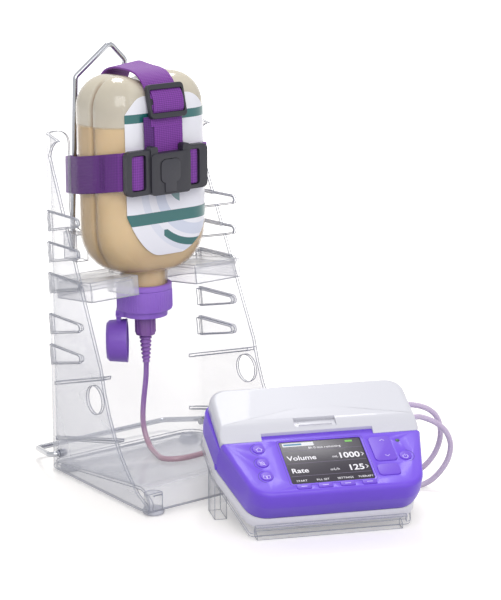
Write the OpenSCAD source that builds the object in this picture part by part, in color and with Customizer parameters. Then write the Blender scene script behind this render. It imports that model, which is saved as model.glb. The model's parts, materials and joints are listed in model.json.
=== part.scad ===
// Table stand with an inverted feed bottle, its harness and tube set, and an enteral feeding pump
// lying in a tilted tray. Millimetres, +Z up, origin on the table under the middle of the whole.
// The stand's own frame has X to its right, Y to its back and its front feet on y = 0.

/* [Stand] */
// Outer width of the shell at its back
stand_back_w = 132; // [120:1:160]
// Outer width of the shell at its front
stand_front_w = 142; // [130:1:170]
// Height of the shell
stand_h = 248; // [220:1:300]
// Depth from the front feet to the shell's back face
stand_depth = 130; // [110:1:150]
// Wall of the clear shell
wall = 2.5; // [2:0.1:4]
// Radius of the shell's back corners
corner_r = 14; // [8:1:20]
// Diameter of the accessory holes in the wings
wing_hole_d = 20; // [10:1:26]
// Diameter of the stand's rubber feet
foot_d = 15; // [10:1:20]
// Height of the rubber feet under the shell
foot_h = 3; // [2:0.5:6]

/* [Grooves and shelf] */
// Height of the highest groove above the table
groove_top_z = 187; // [180:1:200]
// Length of a groove
groove_len = 41; // [30:1:50]
// Height of a groove at the back
groove_back_h = 15; // [10:1:18]
// Height of a groove at its round front end
groove_front_h = 7; // [5:0.5:10]
// Upward slope of the shelf and the grooves towards the front
shelf_tilt = 7; // [3:0.5:10]
// Height of the shelf's skirt
shelf_h = 14; // [10:1:18]
// Width of the shelf's slot for the bottle's neck
slot_w = 50; // [44:1:56]

/* [Wire hanger] */
// Diameter of the hanger's wire
wire_d = 4; // [3:0.5:5]
// Height of the top of the hook
hook_z = 305.6; // [290:0.1:330]

/* [Bottle] */
// Width of the bottle
bottle_w = 90; // [80:1:96]
// Depth of the bottle
bottle_d = 58; // [50:1:60]
// Height of the bottle's body, from the shelf to its base
bottle_h = 141; // [120:1:160]
// Wall of the bottle
bottle_wall = 1; // [0.6:0.1:1.5]
// Height of the feed in the bottle, above the shelf
feed_level = 106; // [60:1:110]
// Diameter of the screw cap
cap_d = 40; // [36:0.5:44]
// Backward lean of the bottle
bottle_lean = 1.5; // [0:0.5:5]

/* [Harness] */
// Width of the webbing
webbing_w = 27; // [20:1:30]
// Thickness of the webbing
webbing_t = 1.5; // [1:0.1:2]
// Height of the belt's middle at the front
belt_z = 225; // [215:1:232]
// Downward slope of the belt towards the back
belt_slope = 10; // [0:1:14]
// Thickness of the buckle
buckle_t = 7; // [5:0.5:9]
// Travel of the buckle's release button
button_travel = 2; // [1:0.1:2.5]

/* [Tube] */
// Diameter of the feeding tube
tube_d = 4; // [3.4:0.1:4.4]

/* [Pump] */
// Tilt of the pump in its tray
pump_tilt = 23; // [20:1:26]
// Turn of the pump and tray from the stand
pump_turn = -24.5; // [-30:0.5:-20]
// Half width of the pump's body at its widest
pump_half_w = 71.5; // [70:0.5:78]
// Length of the pump's body, front to back
pump_len = 110; // [105:1:125]
// Height of the pump's face above the tray's plane
face_n = 39.5; // [37:0.5:44]
// Height of the top of the door above the tray's plane
door_n = 44.5; // [43:0.5:50]
// Wall of the pump's shells
shell_t = 2.2; // [1.8:0.1:3]
// Width of the display window
display_w = 56.7; // [50:0.1:60]
// Height of the display window
display_h = 42.5; // [36:0.1:43]
// Travel of each key
key_travel = 0.8; // [0.5:0.1:1]
// Diameter of the round keys
key_d = 8.4; // [7:0.1:8.6]
// Diameter of the door's hinge pin
hinge_d = 2.4; // [2:0.1:3]

/* [Hidden] */
$fn = 48;

gap = 0.3;        // clearance between neighbours that don't touch
run = 0.06;       // radial clearance of a pin or shaft that turns
eps = 0.01;       // overlap that joins the solids of one piece
big = 400;        // longer than anything it cuts
origin_shift = [-17.6, -7.6, 0];  // puts the middle of the whole over the origin

// Stand
wing_y = stand_depth - corner_r;     // the wings run straight forward from here
flare = atan((stand_front_w - stand_back_w) / 2 / wing_y);
shell_bottom = foot_h;
floor_back_z = 6.5;
floor_front_z = 20;
roll_r = 12;
front_y = -6;
foot_y = 1.5;
back_foot_y = stand_depth - 14;
foot_x = 61.5;
groove_pitch = 22.5;
groove_break = 30;   // the wider step between the third and the fourth groove
groove_z = [groove_top_z, groove_top_z - groove_pitch, groove_top_z - 2 * groove_pitch,
    groove_top_z - 2 * groove_pitch - groove_break, groove_top_z - 3 * groove_pitch - groove_break];
groove_back = 2;                     // back end of the grooves, behind wing_y
groove_out = 2;                      // how far a groove stands out of the wing
groove_skin = 1.5;                   // wall round a groove
shelf_groove = 2;                    // index of the groove that carries the shelf
rail_w = 6;
rail_t = 2.5;
horn_w = 25;                         // width of each horn beside the back panel's cut-out
cut_z = 170;                         // bottom of the cut-out
wing_hole_y = 62.5;
wing_hole_z = 68;
pivot_y = 112;
pivot_z = 16;
wire_r = wire_d / 2;
wire_bend = 4.5;
pivot_r = wire_r + 0.5;    // the collars at the wire's ends that turn in the wings

// Shelf and bottle
shelf_front_y = 69;
shelf_front_z = groove_z[shelf_groove] + 8.3;
shelf_plate = 3;
bottle_y = 97;
bottle_z = shelf_front_z - (bottle_y - shelf_front_y) * tan(shelf_tilt) + 0.9;
bottle_r = 22;       // radius of the bottle's upright edges
bottle_top_r = 24;
shoulder_h = 32;
neck_r = 17;
neck_len = 26;
cap_top = -11.4;     // the cap's upper edge in the bottle's frame
ring_h = 4;
cap_h = 19.6;
flange_r = 16.5;
flange_h = 4.6;
plug_r = 7;
plug_h = 14.3;
sleeve_h = 20.9;
lid_r = 16;
lid_t = 2;
lid_rim = 13;
lid_turn = -38;    // about the bottle's axis
lid_pin_r = 1.2;
tube_r = tube_d / 2;
tube_top = cap_top - cap_h - flange_h - plug_h - sleeve_h;

// Harness
belt_y = bottle_y + (belt_z - bottle_z) * tan(bottle_lean);
leg_x = 26.8;         // the hanger's legs where the belt passes round them
leg_y = 145.4;
leg_gap = 1.4;       // room for the legs' slope inside the belt
belt_gap = 0.9;      // from the bottle to the belt, over the label
buckle_y = belt_y - bottle_d / 2 - belt_gap - 2 * webbing_t - 4 * gap;   // the buckle's back face
buckle_z = belt_z;
button_proud = 0.5;
buckle_frame_t = 5;  // of the two strap loops beside the buckle's middle
lock_angle = 167;
lock_w = webbing_w + 4;
lock_l = 24;
lock_t = 4;

// Pump, in its own frame: x along its width, u up its face and n out of it
pump_pos = [4.9, -109.2, 0];
pump_bottom = 4.3;
seam_n = 13;
gasket_t = 0.8;
deck_n = 33.3;
door_bottom = deck_n + 0.5;
body_x = 2.5;        // middle of the body, the display is left of it
right_x = body_x + pump_half_w;
body_front = 2;      // front of the face
foot_front = 7.5;    // front of the rear shell, further back
waist_n = 28;        // the front leans back below this
door_u = 56;         // front edge of the door
door_notch_u = 61;   // and in its notch behind the display
door_crease_u = 66;  // the door slopes down to its front edge from here
door_notch_w = 39;
hinge_u = pump_len - 5;
hinge_n = 38.6;
hinge_x = 45;
hinge_r = hinge_d / 2;
latch_w = 29;
latch_u = 63.5;      // front edge of the door's latch, its seat and its travel
latch_l = 6;
latch_n = 41;
latch_travel = 2;
trough_u = hinge_u - 6.5;    // the trough that the door's back edge turns in
trough_n = deck_n - 2.6;
trough_wall = 1.7;
lug = 3.4;
display_u = 32.3;
port_u = [94, 80];
port_n = 30.5;
rotor_x = 36;
rotor_u = (port_u[0] + port_u[1]) / 2;
bay = [12, 60, 72, trough_u - trough_wall / 2];    // the tube bay: x from, x to, u from, u to
bay_floor = 24;
board_n = 29;
board_t = 1.6;
key_top = face_n + 0.5;
key_flange = 1;
face_wall = 1.2;     // wall between the face's hollow and the door's front edge
soft_key_x = [-21.2, -6.6, 8.6, 23.6];
soft_key_u = 7.8;
round_keys = [[-43, 47.8], [-43.4, 33.8], [-43.5, 20.4]];
rocker = [41, 39.5, 15.5, 24.5];     // x, u, width and height
enter = [39.8, 18.5, 15.2, 11];
power_key = [54.8, 31];
light_at = [53.5, 47];
face_screws = [[-50, 26], [52, 20]];   // under the face
deck_screws = [[-59, 92], [64, 64]];   // under the door
screw_at = concat(face_screws, deck_screws);
tray_bottom = 1.2;
tray_t = 2.8;
leg_h = [50, 70];
tray_leg_x = [60, 70];

// Outlines as circles, counter-clockwise: [x, y, radius]
bottle_circles = [[-(bottle_w / 2 - bottle_r), -(bottle_d / 2 - bottle_r), bottle_r],
    [bottle_w / 2 - bottle_r, -(bottle_d / 2 - bottle_r), bottle_r],
    [bottle_w / 2 - bottle_r, bottle_d / 2 - bottle_r, bottle_r],
    [-(bottle_w / 2 - bottle_r), bottle_d / 2 - bottle_r, bottle_r]];
belt_circles = [[-37, belt_y - bottle_d / 2 + 1.5, 1.5], [33, belt_y - bottle_d / 2 + 1.5, 1.5],
    [bottle_w / 2 - bottle_r, belt_y - bottle_d / 2 + bottle_r, bottle_r],
    [bottle_w / 2 - bottle_r, belt_y + bottle_d / 2 - bottle_r, bottle_r],
    [leg_x, leg_y, wire_r + leg_gap], [-leg_x, leg_y, wire_r + leg_gap],
    [-(bottle_w / 2 - bottle_r), belt_y + bottle_d / 2 - bottle_r, bottle_r],
    [-(bottle_w / 2 - bottle_r), belt_y - bottle_d / 2 + bottle_r, bottle_r]];
function body_ring(front) = [[body_x - pump_half_w + 27, front + 16, 16], [right_x - 27, front + 16, 16],
    [right_x - 15, 60, 14], [right_x - 14, pump_len - 14, 14],
    [body_x - pump_half_w + 14, pump_len - 14, 14], [body_x - pump_half_w + 15, 60, 14]];
function door_ring(front) = [[body_x - pump_half_w + 5, front + 3, 3], [right_x - 5.5, front + 3, 3],
    [right_x - 15, pump_len - 14.5, 12.5], [body_x - pump_half_w + 14.5, pump_len - 14.5, 12.5]];
tray_circles = [[-52, foot_front + 1, 4], [53, foot_front + 1, 4], [67, 66, 4], [67, 100, 4],
    [-65, 100, 4], [-65, 66, 4]];

// The hanger's line from its socket behind the back panel to its shoulder, at a height
function leg_at(z) = [-42 + 21 * (z - 24) / 257, 134.5 + 15 * (z - 24) / 257, z];
leg_low = 156;       // lower end of the hanger in its sockets
socket_top = 170;
hanger_left = [leg_at(leg_low), leg_at(281)];
hook = [[9, 149.5, hook_z - wire_r], [22.5, 149.5, 290]];
// The bail behind the stand, on the left from its pivot end to its corner
bail_left = [[-61, pivot_y, pivot_z], [-73.5, pivot_y, pivot_z], [-57.5, 155, 7.5]];
function mirrored(p) = [for (i = [len(p) - 1:-1:0]) [-p[i][0], p[i][1], p[i][2]]];

// The free tubes' routes, chosen by hand, in the stand's frame
feed_route = [[0, 95.1, 76], [-0.5, 95.1, 66], [-2, 95, 55], [-3.5, 94.8, 44], [-4.6, 93.6, 33],
    [-5, 90, 23.5], [-6, 83, 16.8], [-9, 73, 15.4], [-13, 63, 16.2], [-16, 54, 17.2],
    [-14, 46, 18.2], [-7, 41.5, 18.7], [3, 41, 18.7], [14, 42, 18.6], [25, 41.5, 18.7],
    [35, 37, 19.2], [43, 29, 20.1], [49, 19, 21.2], [54, 9, 22.5], [58, 0, 21.6],
    [62, -8, 16], [66, -15, 9], [71, -22, 4], [78, -29, 2.3], [87, -36, 2.2], [97, -42, 2.2]];
feed_rise = [[66, 94, 2.2], [76, 93, 3.4], [85, 90.5, 8], [93, 88, 14], [99.5, 86, 23],
    [103, 84.5, 34], [102.5, 83.5, 45], [98, 82, 54], [89, 79.5, 60.5]];
patient_drop = [[83, 66.5, 57.5], [93, 67, 53], [101.5, 68, 45.5], [106, 70, 35.5], [105.5, 72, 24.5],
    [101, 74.5, 14.5], [94, 77, 6.5], [84.5, 78.5, 2.6], [74, 79, 2.2], [63, 79, 2.2], [52, 77.5, 2.2],
    [41, 73.5, 2.2], [32, 67, 2.2], [24.5, 60, 2.2], [17.5, 53.4, 2.2]];
coil_at = [-5, 75];    // middle of the coil beside the pump's front edge, x and depth
coil_out = 29;
coil_in = 17;
coil_h = 12;
tail_route = [[-22, 90, 14.3], [-14, 92, 14.4], [-5, 91.5, 14.8], [4, 88.5, 15.6], [11, 83, 16.6],
    [16, 76, 17.3]];
connector_turn = -64;

function unit(v) = v / norm(v);
// Outward angle of the tangent that two circles of a counter-clockwise outline share
function tangent_angle(a, b) =
    atan2(b[1] - a[1], b[0] - a[0]) - acos((a[2] - b[2]) / norm([b[0] - a[0], b[1] - a[1]]));
function after(angle, start) = angle < start - 0.001 ? after(angle + 360, start) : angle;
function below_turn(angle, start) = angle >= start + 359.9 ? below_turn(angle - 360, start) : angle;
function arc(c, from, to, grow, steps) = [for (k = [0:steps])
    let (t = from + (to - from) * k / steps) [c[0] + (c[2] + grow) * cos(t), c[1] + (c[2] + grow) * sin(t)]];
// The line drawn tight round a ring of circles, moved outwards by grow
function outline(circles, grow = 0, steps = 6) = [for (i = [0:len(circles) - 1])
    let (n = len(circles), from = tangent_angle(circles[(i + n - 1) % n], circles[i]),
        to = below_turn(after(tangent_angle(circles[i], circles[(i + 1) % n]), from), from))
    each arc(circles[i], from, to, grow, to - from < 2 ? 0 : steps)];
// A rounded rectangle of fixed point count, so that sections of any size can be joined
function round_rect(hw, hd, r, steps = 6) = [for (q = [0:3])
    let (sx = [1, -1, -1, 1][q], sy = [1, 1, -1, -1][q])
    each arc([sx * (hw - r), sy * (hd - r), r], 90 * q, 90 * q + 90, 0, steps)];
// An arc of radius r at corner b of the line a-b-c
function corner(a, b, c, r, steps) =
    let (u = unit(a - b), v = unit(c - b), half = acos(u * v) / 2, d = r / tan(half),
        centre = b + unit(u + v) * r / sin(half), e = b + u * d - centre, f = b + v * d - centre,
        turn = 180 - 2 * half)
    [for (k = [0:steps]) centre + (sin(turn * (1 - k / steps)) * e + sin(turn * k / steps) * f) / sin(turn)];
function round_corners(p, r, steps = 4) = [p[0],
    for (i = [1:len(p) - 2]) each corner(p[i - 1], p[i], p[i + 1], r, steps), p[len(p) - 1]];
function heading(p, i) = unit(p[min(i + 1, len(p) - 1)] - p[max(i - 1, 0)]);
// One side vector for each point of a path, carried along it without twist
function side_vectors(p, i = 0, s = [0, 0, 0]) = i == len(p) ? [] :
    let (t = heading(p, i), w = i > 0 ? s - (s * t) * t
        : abs(t[2]) < 0.9 ? cross(t, [0, 0, 1]) : cross(t, [1, 0, 0]), u = unit(w))
    concat([u], side_vectors(p, i + 1, u));
// Turns a point of the tray's frame, flat on the table, into the stand's frame
function from_tray(p) = [pump_pos[0] + p[0] * cos(pump_turn) - p[1] * sin(pump_turn),
    pump_pos[1] + p[0] * sin(pump_turn) + p[1] * cos(pump_turn), p[2]];
// Turns a point of the pump's tilted frame into the tray's frame
function from_pump(p) = [p[0], p[1] * cos(pump_tilt) - p[2] * sin(pump_tilt),
    p[1] * sin(pump_tilt) + p[2] * cos(pump_tilt)];
function port(i, x) = from_tray(from_pump([x, port_u[i], port_n]));

// A closed solid through rings of equal point count
module skin(rings) {
    n = len(rings[0]);
    m = len(rings);
    polyhedron(points = [for (ring = rings) each ring],
        faces = concat([[for (k = [0:n - 1]) k]], [[for (k = [n - 1:-1:0]) (m - 1) * n + k]],
            [for (i = [0:m - 2]) for (k = [0:n - 1]) let (a = i * n + k, b = i * n + (k + 1) % n)
                each [[a, a + n, b], [b, a + n, b + n]]]));
}

// A round tube along a path
module tube(p, r, sides = 8) {
    s = side_vectors(p);
    skin([for (i = [0:len(p) - 1]) let (b = cross(heading(p, i), s[i]))
        [for (k = [0:sides - 1]) p[i] + r * (cos(360 * k / sides) * s[i] + sin(360 * k / sides) * b)]]);
}

// A flat band of height h round a closed outline, each point dropped by the slope
module band(circles, grow, t, h, z, slope, y0) {
    a = outline(circles, grow);
    b = outline(circles, grow + t);
    n = len(a);
    function at(q, dz) = [q[0], q[1], z + dz - (q[1] - y0) * tan(slope)];
    pts = [for (i = [0:n - 1]) each [at(a[i], -h / 2), at(a[i], h / 2), at(b[i], h / 2), at(b[i], -h / 2)]];
    polyhedron(points = pts, faces = [for (i = [0:n - 1]) for (k = [0:3])
        let (p = 4 * i + k, q = 4 * i + (k + 1) % 4, j = 4 * ((i + 1) % n), r = j + k, s = j + (k + 1) % 4)
        each [[p, r, q], [q, r, s]]]);
}

// A plate whose outline lies in Y and Z, from x0 to x1
module side_plate(points, x0, x1) {
    translate([x0, 0, 0]) rotate([90, 0, 90]) linear_extrude(x1 - x0) polygon(points);
}

// A plate whose outline lies in X and Z, from y0 to y1
module front_plate(points, y0, y1) {
    translate([0, y1, 0]) rotate([90, 0, 0]) linear_extrude(y1 - y0) polygon(points);
}

module prism(points, n0, n1) {
    translate([0, 0, n0]) linear_extrude(n1 - n0) polygon(points);
}

module block(x, y, z) {
    translate([x[0], y[0], z[0]]) cube([x[1] - x[0], y[1] - y[0], z[1] - z[0]]);
}

module both_sides() {
    children();
    mirror([1, 0, 0]) children();
}

// Frames
module in_stand() { translate(origin_shift) children(); }
module on_wing() {   // x outwards from the right wing's outer face, y back from where it turns the corner
    translate([stand_back_w / 2, wing_y, 0]) rotate([0, 0, flare]) children();
}
module in_shelf() {
    in_stand() translate([0, shelf_front_y, shelf_front_z]) rotate([-shelf_tilt, 0, 0]) children();
}
module in_bottle() {
    in_stand() translate([0, bottle_y, bottle_z]) rotate([-bottle_lean, 0, 0]) children();
}
module in_tray() { in_stand() translate(pump_pos) rotate([0, 0, pump_turn]) children(); }
module in_pump() { in_tray() rotate([pump_tilt, 0, 0]) children(); }

// The shell in plan: its outer or inner line, open at the front
function plan(inset) =
    let (wb = stand_back_w / 2 - inset, yb = stand_depth - inset, r = corner_r - inset,
        yf = front_y - 20, wf = wb + (wing_y - yf) * tan(flare))
    concat([[-wf, yf], [wf, yf]], arc([wb - r, yb - r, r], 0, 90, 0, 8),
        arc([-(wb - r), yb - r, r], 90, 180, 0, 8));
// A wing from the side, [y, z], with a curved front edge and a rounded top
wing_side = concat([[stand_depth + 10, shell_bottom], [stand_depth + 10, stand_h], [118, stand_h]],
    arc([102, stand_h - 19, 16], 80, 12, 0, 5), [[54, 92]],
    [for (t = [0.15:0.15:0.9]) (1 - t) ^ 3 * [54, 92] + 3 * (1 - t) ^ 2 * t * [46, 55]
        + 3 * (1 - t) * t ^ 2 * [28, 26] + t ^ 3 * [0, 8]],
    [[front_y, 7], [front_y, 4], [8, shell_bottom]]);
// The floor plate from the side: rising to the front, then rolled down
function floor_side(under) = concat([[stand_depth - 1, floor_back_z - under]],
    arc([front_y + roll_r, floor_front_z - roll_r, roll_r - under], 90, 180, 0, 8),
    [[front_y + under, 4]]);
function groove_shape(inset) =
    let (rf = groove_front_h / 2, rb = groove_back_h / 2, len = groove_len)
    concat([[groove_back, rb - inset]], arc([groove_back + rf - len, 0, rf - inset], 100, 260, 0, 6),
        [[groove_back, -(rb - inset)]]);
module groove_solid(inset, x0, x1) {
    side_plate(groove_shape(inset), x0, x1);
}

module rail(z_back, z_front, y_front) {
    b = stand_depth - wall;
    side_plate([[b, z_back], [y_front, z_front], [y_front - 0.5, z_front + rail_t],
        [b, z_back + rail_t]], stand_back_w / 2 - rail_w, stand_back_w / 2 + 8);
}

module stand_walls() {
    difference() {
        prism(plan(0), 0, stand_h);
        translate([0, 0, -1]) linear_extrude(stand_h + 2) polygon(plan(wall));
    }
}

module stand_shell() color([0.93, 0.95, 0.97, 0.35]) in_stand() difference() {
    union() {
        intersection() {
            stand_walls();
            side_plate(wing_side, -big / 2, big / 2);
        }
        intersection() {
            side_plate(concat(floor_side(0), reversed(floor_side(wall))),
                -big / 2, big / 2);
            prism(plan(wall / 2), 0, 60);
        }
        intersection() {   // rails and foot bosses
            union() {
                both_sides() rail(63, 84, 53);
                both_sides() rail(22, 42, 38);
            }
            prism(plan(wall / 2), 0, stand_h);
        }
        for (x = [-foot_x, foot_x]) translate([x, foot_y, shell_bottom]) cylinder(h = 12, d = foot_d - 2);
        for (x = [-foot_x + 8, foot_x - 8]) translate([x, back_foot_y, shell_bottom])
            cylinder(h = 3, d = foot_d - 2);
        both_sides() on_wing() for (z = groove_z) translate([0, 0, z]) rotate([-shelf_tilt, 0, 0])
            groove_solid(0, -0.5, groove_out);
        // the hanger's sockets
        for (s = [-1, 1]) block([s * leg_at(160)[0] - 4.8, s * leg_at(160)[0] + 4.8],
            [stand_depth - 0.5, leg_at(160)[1] + wire_r + 2.4], [leg_low - 6, socket_top]);
    }
    both_sides() translate(leg_at(leg_low - gap))
        rotate([0, atan2(norm([21, 15]), 257), atan2(15, 21)]) rotate([0, 0, 70])
            cylinder(h = 26, r = wire_r + run);
    // the grooves, the wire's pivots and the accessory holes
    both_sides() on_wing() for (z = groove_z) translate([0, 0, z]) rotate([-shelf_tilt, 0, 0])
        groove_solid(groove_skin, -wall - 1, groove_out - groove_skin);
    for (s = [-1, 1]) translate([s * 55, pivot_y, pivot_z]) rotate([0, s * 90, 0])
        cylinder(h = 20, r = pivot_r + run);
    both_sides() on_wing() translate([-8, wing_hole_y - wing_y, wing_hole_z]) rotate([0, 90, 0])
        cylinder(h = 20, d = wing_hole_d);
    // the back panel's cut-out between its horns
    front_plate(concat(arc([-(stand_back_w / 2 - horn_w - 20), cut_z + 20, 20], 180, 270, 0, 6),
        arc([stand_back_w / 2 - horn_w - 20, cut_z + 20, 20], 270, 360, 0, 6),
        arc([stand_back_w / 2 - horn_w + 10, stand_h - 10, 10], 180, 90, 0, 5),
        arc([-(stand_back_w / 2 - horn_w + 10), stand_h - 10, 10], 90, 0, 0, 5)),
        stand_depth - wall - 3, stand_depth + 3);
}

module rubber_feet() color([0.75, 0.77, 0.8]) in_stand() {
    for (x = [-foot_x, foot_x]) translate([x, foot_y, 0]) cylinder(h = foot_h, d = foot_d);
    for (x = [-foot_x + 8, foot_x - 8]) translate([x, back_foot_y, 0]) cylinder(h = foot_h, d = foot_d);
}

// Half width inside the wings at a distance behind the front feet
function inside(y) = stand_back_w / 2 - wall + (wing_y - y) * tan(flare);
shelf_back = stand_depth - wall - shelf_front_y - 2.5;
function shelf_plan(inset) = [[-(inside(shelf_front_y) - gap - inset), inset],
    [inside(shelf_front_y) - gap - inset, inset],
    [inside(shelf_front_y + shelf_back - 8) - gap - inset, shelf_back - 9],
    [inside(shelf_front_y + shelf_back) - 10, shelf_back - inset],
    [-(inside(shelf_front_y + shelf_back) - 10), shelf_back - inset],
    [-(inside(shelf_front_y + shelf_back - 8) - gap - inset), shelf_back - 9]];
module neck_slot(r) {
    translate([0, bottle_y - shelf_front_y, -shelf_h - 1]) cylinder(h = shelf_h + 2, r = r);
    block([-r, r], [-1, bottle_y - shelf_front_y], [-shelf_h - 1, 1]);
}

module bottle_shelf() color([0.93, 0.95, 0.97, 0.4]) {
    in_shelf() difference() {
        prism(shelf_plan(0), -shelf_h, 0);
        difference() {
            prism(shelf_plan(wall), -shelf_h - 1, -shelf_plate);
            neck_slot(slot_w / 2 + wall);
        }
        neck_slot(slot_w / 2);
    }
    // lugs that sit in the grooves
    in_stand() both_sides() on_wing() translate([0, 0, groove_z[shelf_groove]]) rotate([-shelf_tilt, 0, 0])
        intersection() {
            groove_solid(groove_skin + gap, -wall - 2, groove_out - groove_skin - gap);
            block([-20, 20], [-groove_len - 20, groove_back - 1], [-20, 20]);
        }
}

module wire_hanger() color([0.75, 0.76, 0.78]) in_stand() {
    tube(round_corners(concat(hanger_left, hook, mirrored(hanger_left)), wire_bend), wire_r, 10);
    tube(round_corners(concat(bail_left, mirrored(bail_left)), wire_bend), wire_r, 10);
    for (s = [-1, 1]) translate([s * 60.5, pivot_y, pivot_z]) rotate([0, s * 90, 0])
        cylinder(h = 7.2, r = pivot_r);
}

// The bottle in its own frame: z up from the shelf, neck down
function bottle_ring(z, hw, hd, r) = [for (p = round_rect(hw, hd, r)) [p[0], p[1], z]];
function bottle_rings(inset) = let (hw = bottle_w / 2 - inset, hd = bottle_d / 2 - inset)
    concat([bottle_ring(-2 + inset, neck_r + 1 - inset, neck_r + 1 - inset, neck_r - inset)],
    [for (t = [15:15:75]) let (k = sin(t), z = -0.5 + inset + (shoulder_h - inset) * (1 - cos(t)))
        bottle_ring(z, neck_r + 3 + (hw - neck_r - 3) * k, neck_r + 1 + (hd - neck_r - 1) * k,
            neck_r - inset + (bottle_r - neck_r) * k)],
    [bottle_ring(shoulder_h, hw, hd, bottle_r - inset),
        bottle_ring(bottle_h - bottle_top_r, hw, hd, bottle_r - inset)],
    [for (t = [22.5:22.5:90]) let (z = bottle_h - bottle_top_r + (bottle_top_r - inset) * sin(t),
        e = (bottle_top_r - inset) * (1 - cos(t)))
        bottle_ring(z, hw - e, hd - e, max(1.5, bottle_r - inset - e))]);
module bottle_form(inset) skin([for (ring = bottle_rings(inset)) ring]);

module bottle() color([0.9, 0.85, 0.72, 0.6]) in_bottle() difference() {
    union() {
        bottle_form(0);
        translate([0, 0, -neck_len - 2]) cylinder(h = neck_len + 2, r = neck_r);
    }
    bottle_form(bottle_wall);
    translate([0, 0, -neck_len - 3]) cylinder(h = neck_len + 8, r = neck_r - 1.5);
}

module feed_liquid() color([0.8, 0.68, 0.5]) in_bottle() {
    intersection() {
        bottle_form(bottle_wall + gap);
        block([-big, big], [-big, big], [-10, feed_level]);
    }
    translate([0, 0, -neck_len]) cylinder(h = neck_len + 4, r = neck_r - 1.5 - gap);
}

// The label's line round the bottle's front and right side
function label_line(grow) = concat(arc(bottle_circles[0], 240, 270, grow, 3),
    arc(bottle_circles[1], 270, 360, grow, 8), [[bottle_w / 2 + grow, 4]]);
function reversed(p) = [for (i = [len(p) - 1:-1:0]) p[i]];
module bottle_label() color([0.96, 0.97, 0.97]) in_bottle()
    prism(concat(label_line(0.4), reversed(label_line(0.15))), shoulder_h + 1, 114);

module belt_strap() color([0.5, 0.24, 0.66]) in_stand()
    band(belt_circles, belt_gap, webbing_t, webbing_w, belt_z, belt_slope, belt_y - bottle_d / 2);

// The strap over the bottle, from behind the buckle to the belt's back run, in the bottle's frame
strap_low = belt_z - bottle_z - 8;
strap_back = leg_y + wire_r + leg_gap - belt_y - webbing_t - 2 * gap;   // inside the belt's back run
strap_front = bottle_d / 2 + belt_gap + webbing_t + gap;   // in front of the belt
function strap_line(g) = concat([[-strap_front - g, strap_low], [-strap_front - g, strap_low + 28]],
    arc([-(bottle_d / 2 - bottle_top_r), bottle_h - bottle_top_r, bottle_top_r], 170, 90, g, 6),
    arc([bottle_d / 2 - bottle_top_r, bottle_h - bottle_top_r, bottle_top_r], 90, 24, g, 5),
    [[strap_back + g, strap_low + 5], [strap_back + g, strap_low - 16]]);
module top_strap() color([0.5, 0.24, 0.66]) in_bottle()
    side_plate(concat(strap_line(gap), reversed(strap_line(gap + webbing_t))),
        -webbing_w / 2, webbing_w / 2);

function rect(x0, x1, z0, z1, r = 2) = concat(arc([x1 - r, z1 - r, r], 0, 90, 0, 4),
    arc([x0 + r, z1 - r, r], 90, 180, 0, 4), arc([x0 + r, z0 + r, r], 180, 270, 0, 4),
    arc([x1 - r, z0 + r, r], 270, 360, 0, 4));
function rect_about(x, u, w, h, r = 1) = rect(x - w / 2, x + w / 2, u - h / 2, u + h / 2, r);
buckle_left = -39.2;
buckle_mid = -19.5;
buckle_right = 14;
buckle_end = 30.2;
buckle_low = buckle_z - 17.4;   // its bottom, its top edge and its raised corners
buckle_top = buckle_z + 12;
buckle_horn = buckle_z + 17;
module button_shape(grow) {
    prism(rect_about(0, 0, 16.4 + 2 * grow, 16.6 + 2 * grow, 4 + grow), 0, buckle_t);
    block([-4.8 - grow, 4.8 + grow], [-15 - grow, 0], [0, buckle_t]);
}
module at_button(y) {
    translate([-3.5, y, buckle_z - 0.8]) rotate([90, 0, 0]) children();
}

module buckle_frame() color([0.22, 0.22, 0.24]) in_stand() difference() {
    union() {
        front_plate(rect(buckle_left, buckle_mid + 3, buckle_low + 1, buckle_z + 15, 4),
            buckle_y - buckle_frame_t, buckle_y);
        front_plate(rect(buckle_mid, buckle_right, buckle_low, buckle_top, 3),
            buckle_y - buckle_t, buckle_y);
        for (x = [buckle_mid, buckle_right - 6]) front_plate(rect(x, x + 6, buckle_z, buckle_horn),
            buckle_y - buckle_frame_t - 1, buckle_y);
        front_plate(rect(buckle_right - 3, buckle_end, buckle_low + 1, buckle_z + 15, 4),
            buckle_y - buckle_frame_t, buckle_y);
    }
    front_plate(rect(-35, -23, buckle_z - 13, buckle_z + 12), buckle_y - big, buckle_y + 1);
    front_plate(rect(buckle_right + 0.6, 23.2, buckle_z - 13.5, buckle_z + 12), buckle_y - big, buckle_y + 1);
    intersection() {
        at_button(buckle_y + 1) button_shape(gap);
        block([-big, big], [-big, buckle_y + 1], [0, big]);
    }
    at_button(buckle_y - 4.5) button_shape(gap);
    // the pocket that holds the button's flange
    at_button(buckle_y + 1) intersection() {
        button_shape(1.5 + gap);
        cylinder(h = 5.2, r = 30);
    }
}

module buckle_button() color([0.26, 0.26, 0.28]) in_stand() {
    intersection() {
        at_button(buckle_y - button_travel - 0.6) button_shape(0);
        block([-big, big], [buckle_y - buckle_t - button_proud, big], [0, big]);
    }
    at_button(buckle_y - button_travel - 0.6) intersection() {
        button_shape(1.5);
        cylinder(h = 1.2, r = 30);
    }
}

module ladder_lock() color([0.22, 0.22, 0.24]) in_bottle()
    translate([0, -(bottle_d / 2 - bottle_top_r), bottle_h - bottle_top_r])
    rotate([lock_angle - 180, 0, 0]) {
        y1 = -(bottle_top_r + 2 * gap + webbing_t);
        difference() {
            front_plate(rect_about(0, 0, lock_w, lock_l, 3), y1 - lock_t, y1);
            for (z = [-5.2, 5.2])
                front_plate(rect_about(0, z, webbing_w + 0.6, 6.2), y1 - lock_t - 1, y1 + 1);
        }
    }

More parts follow.
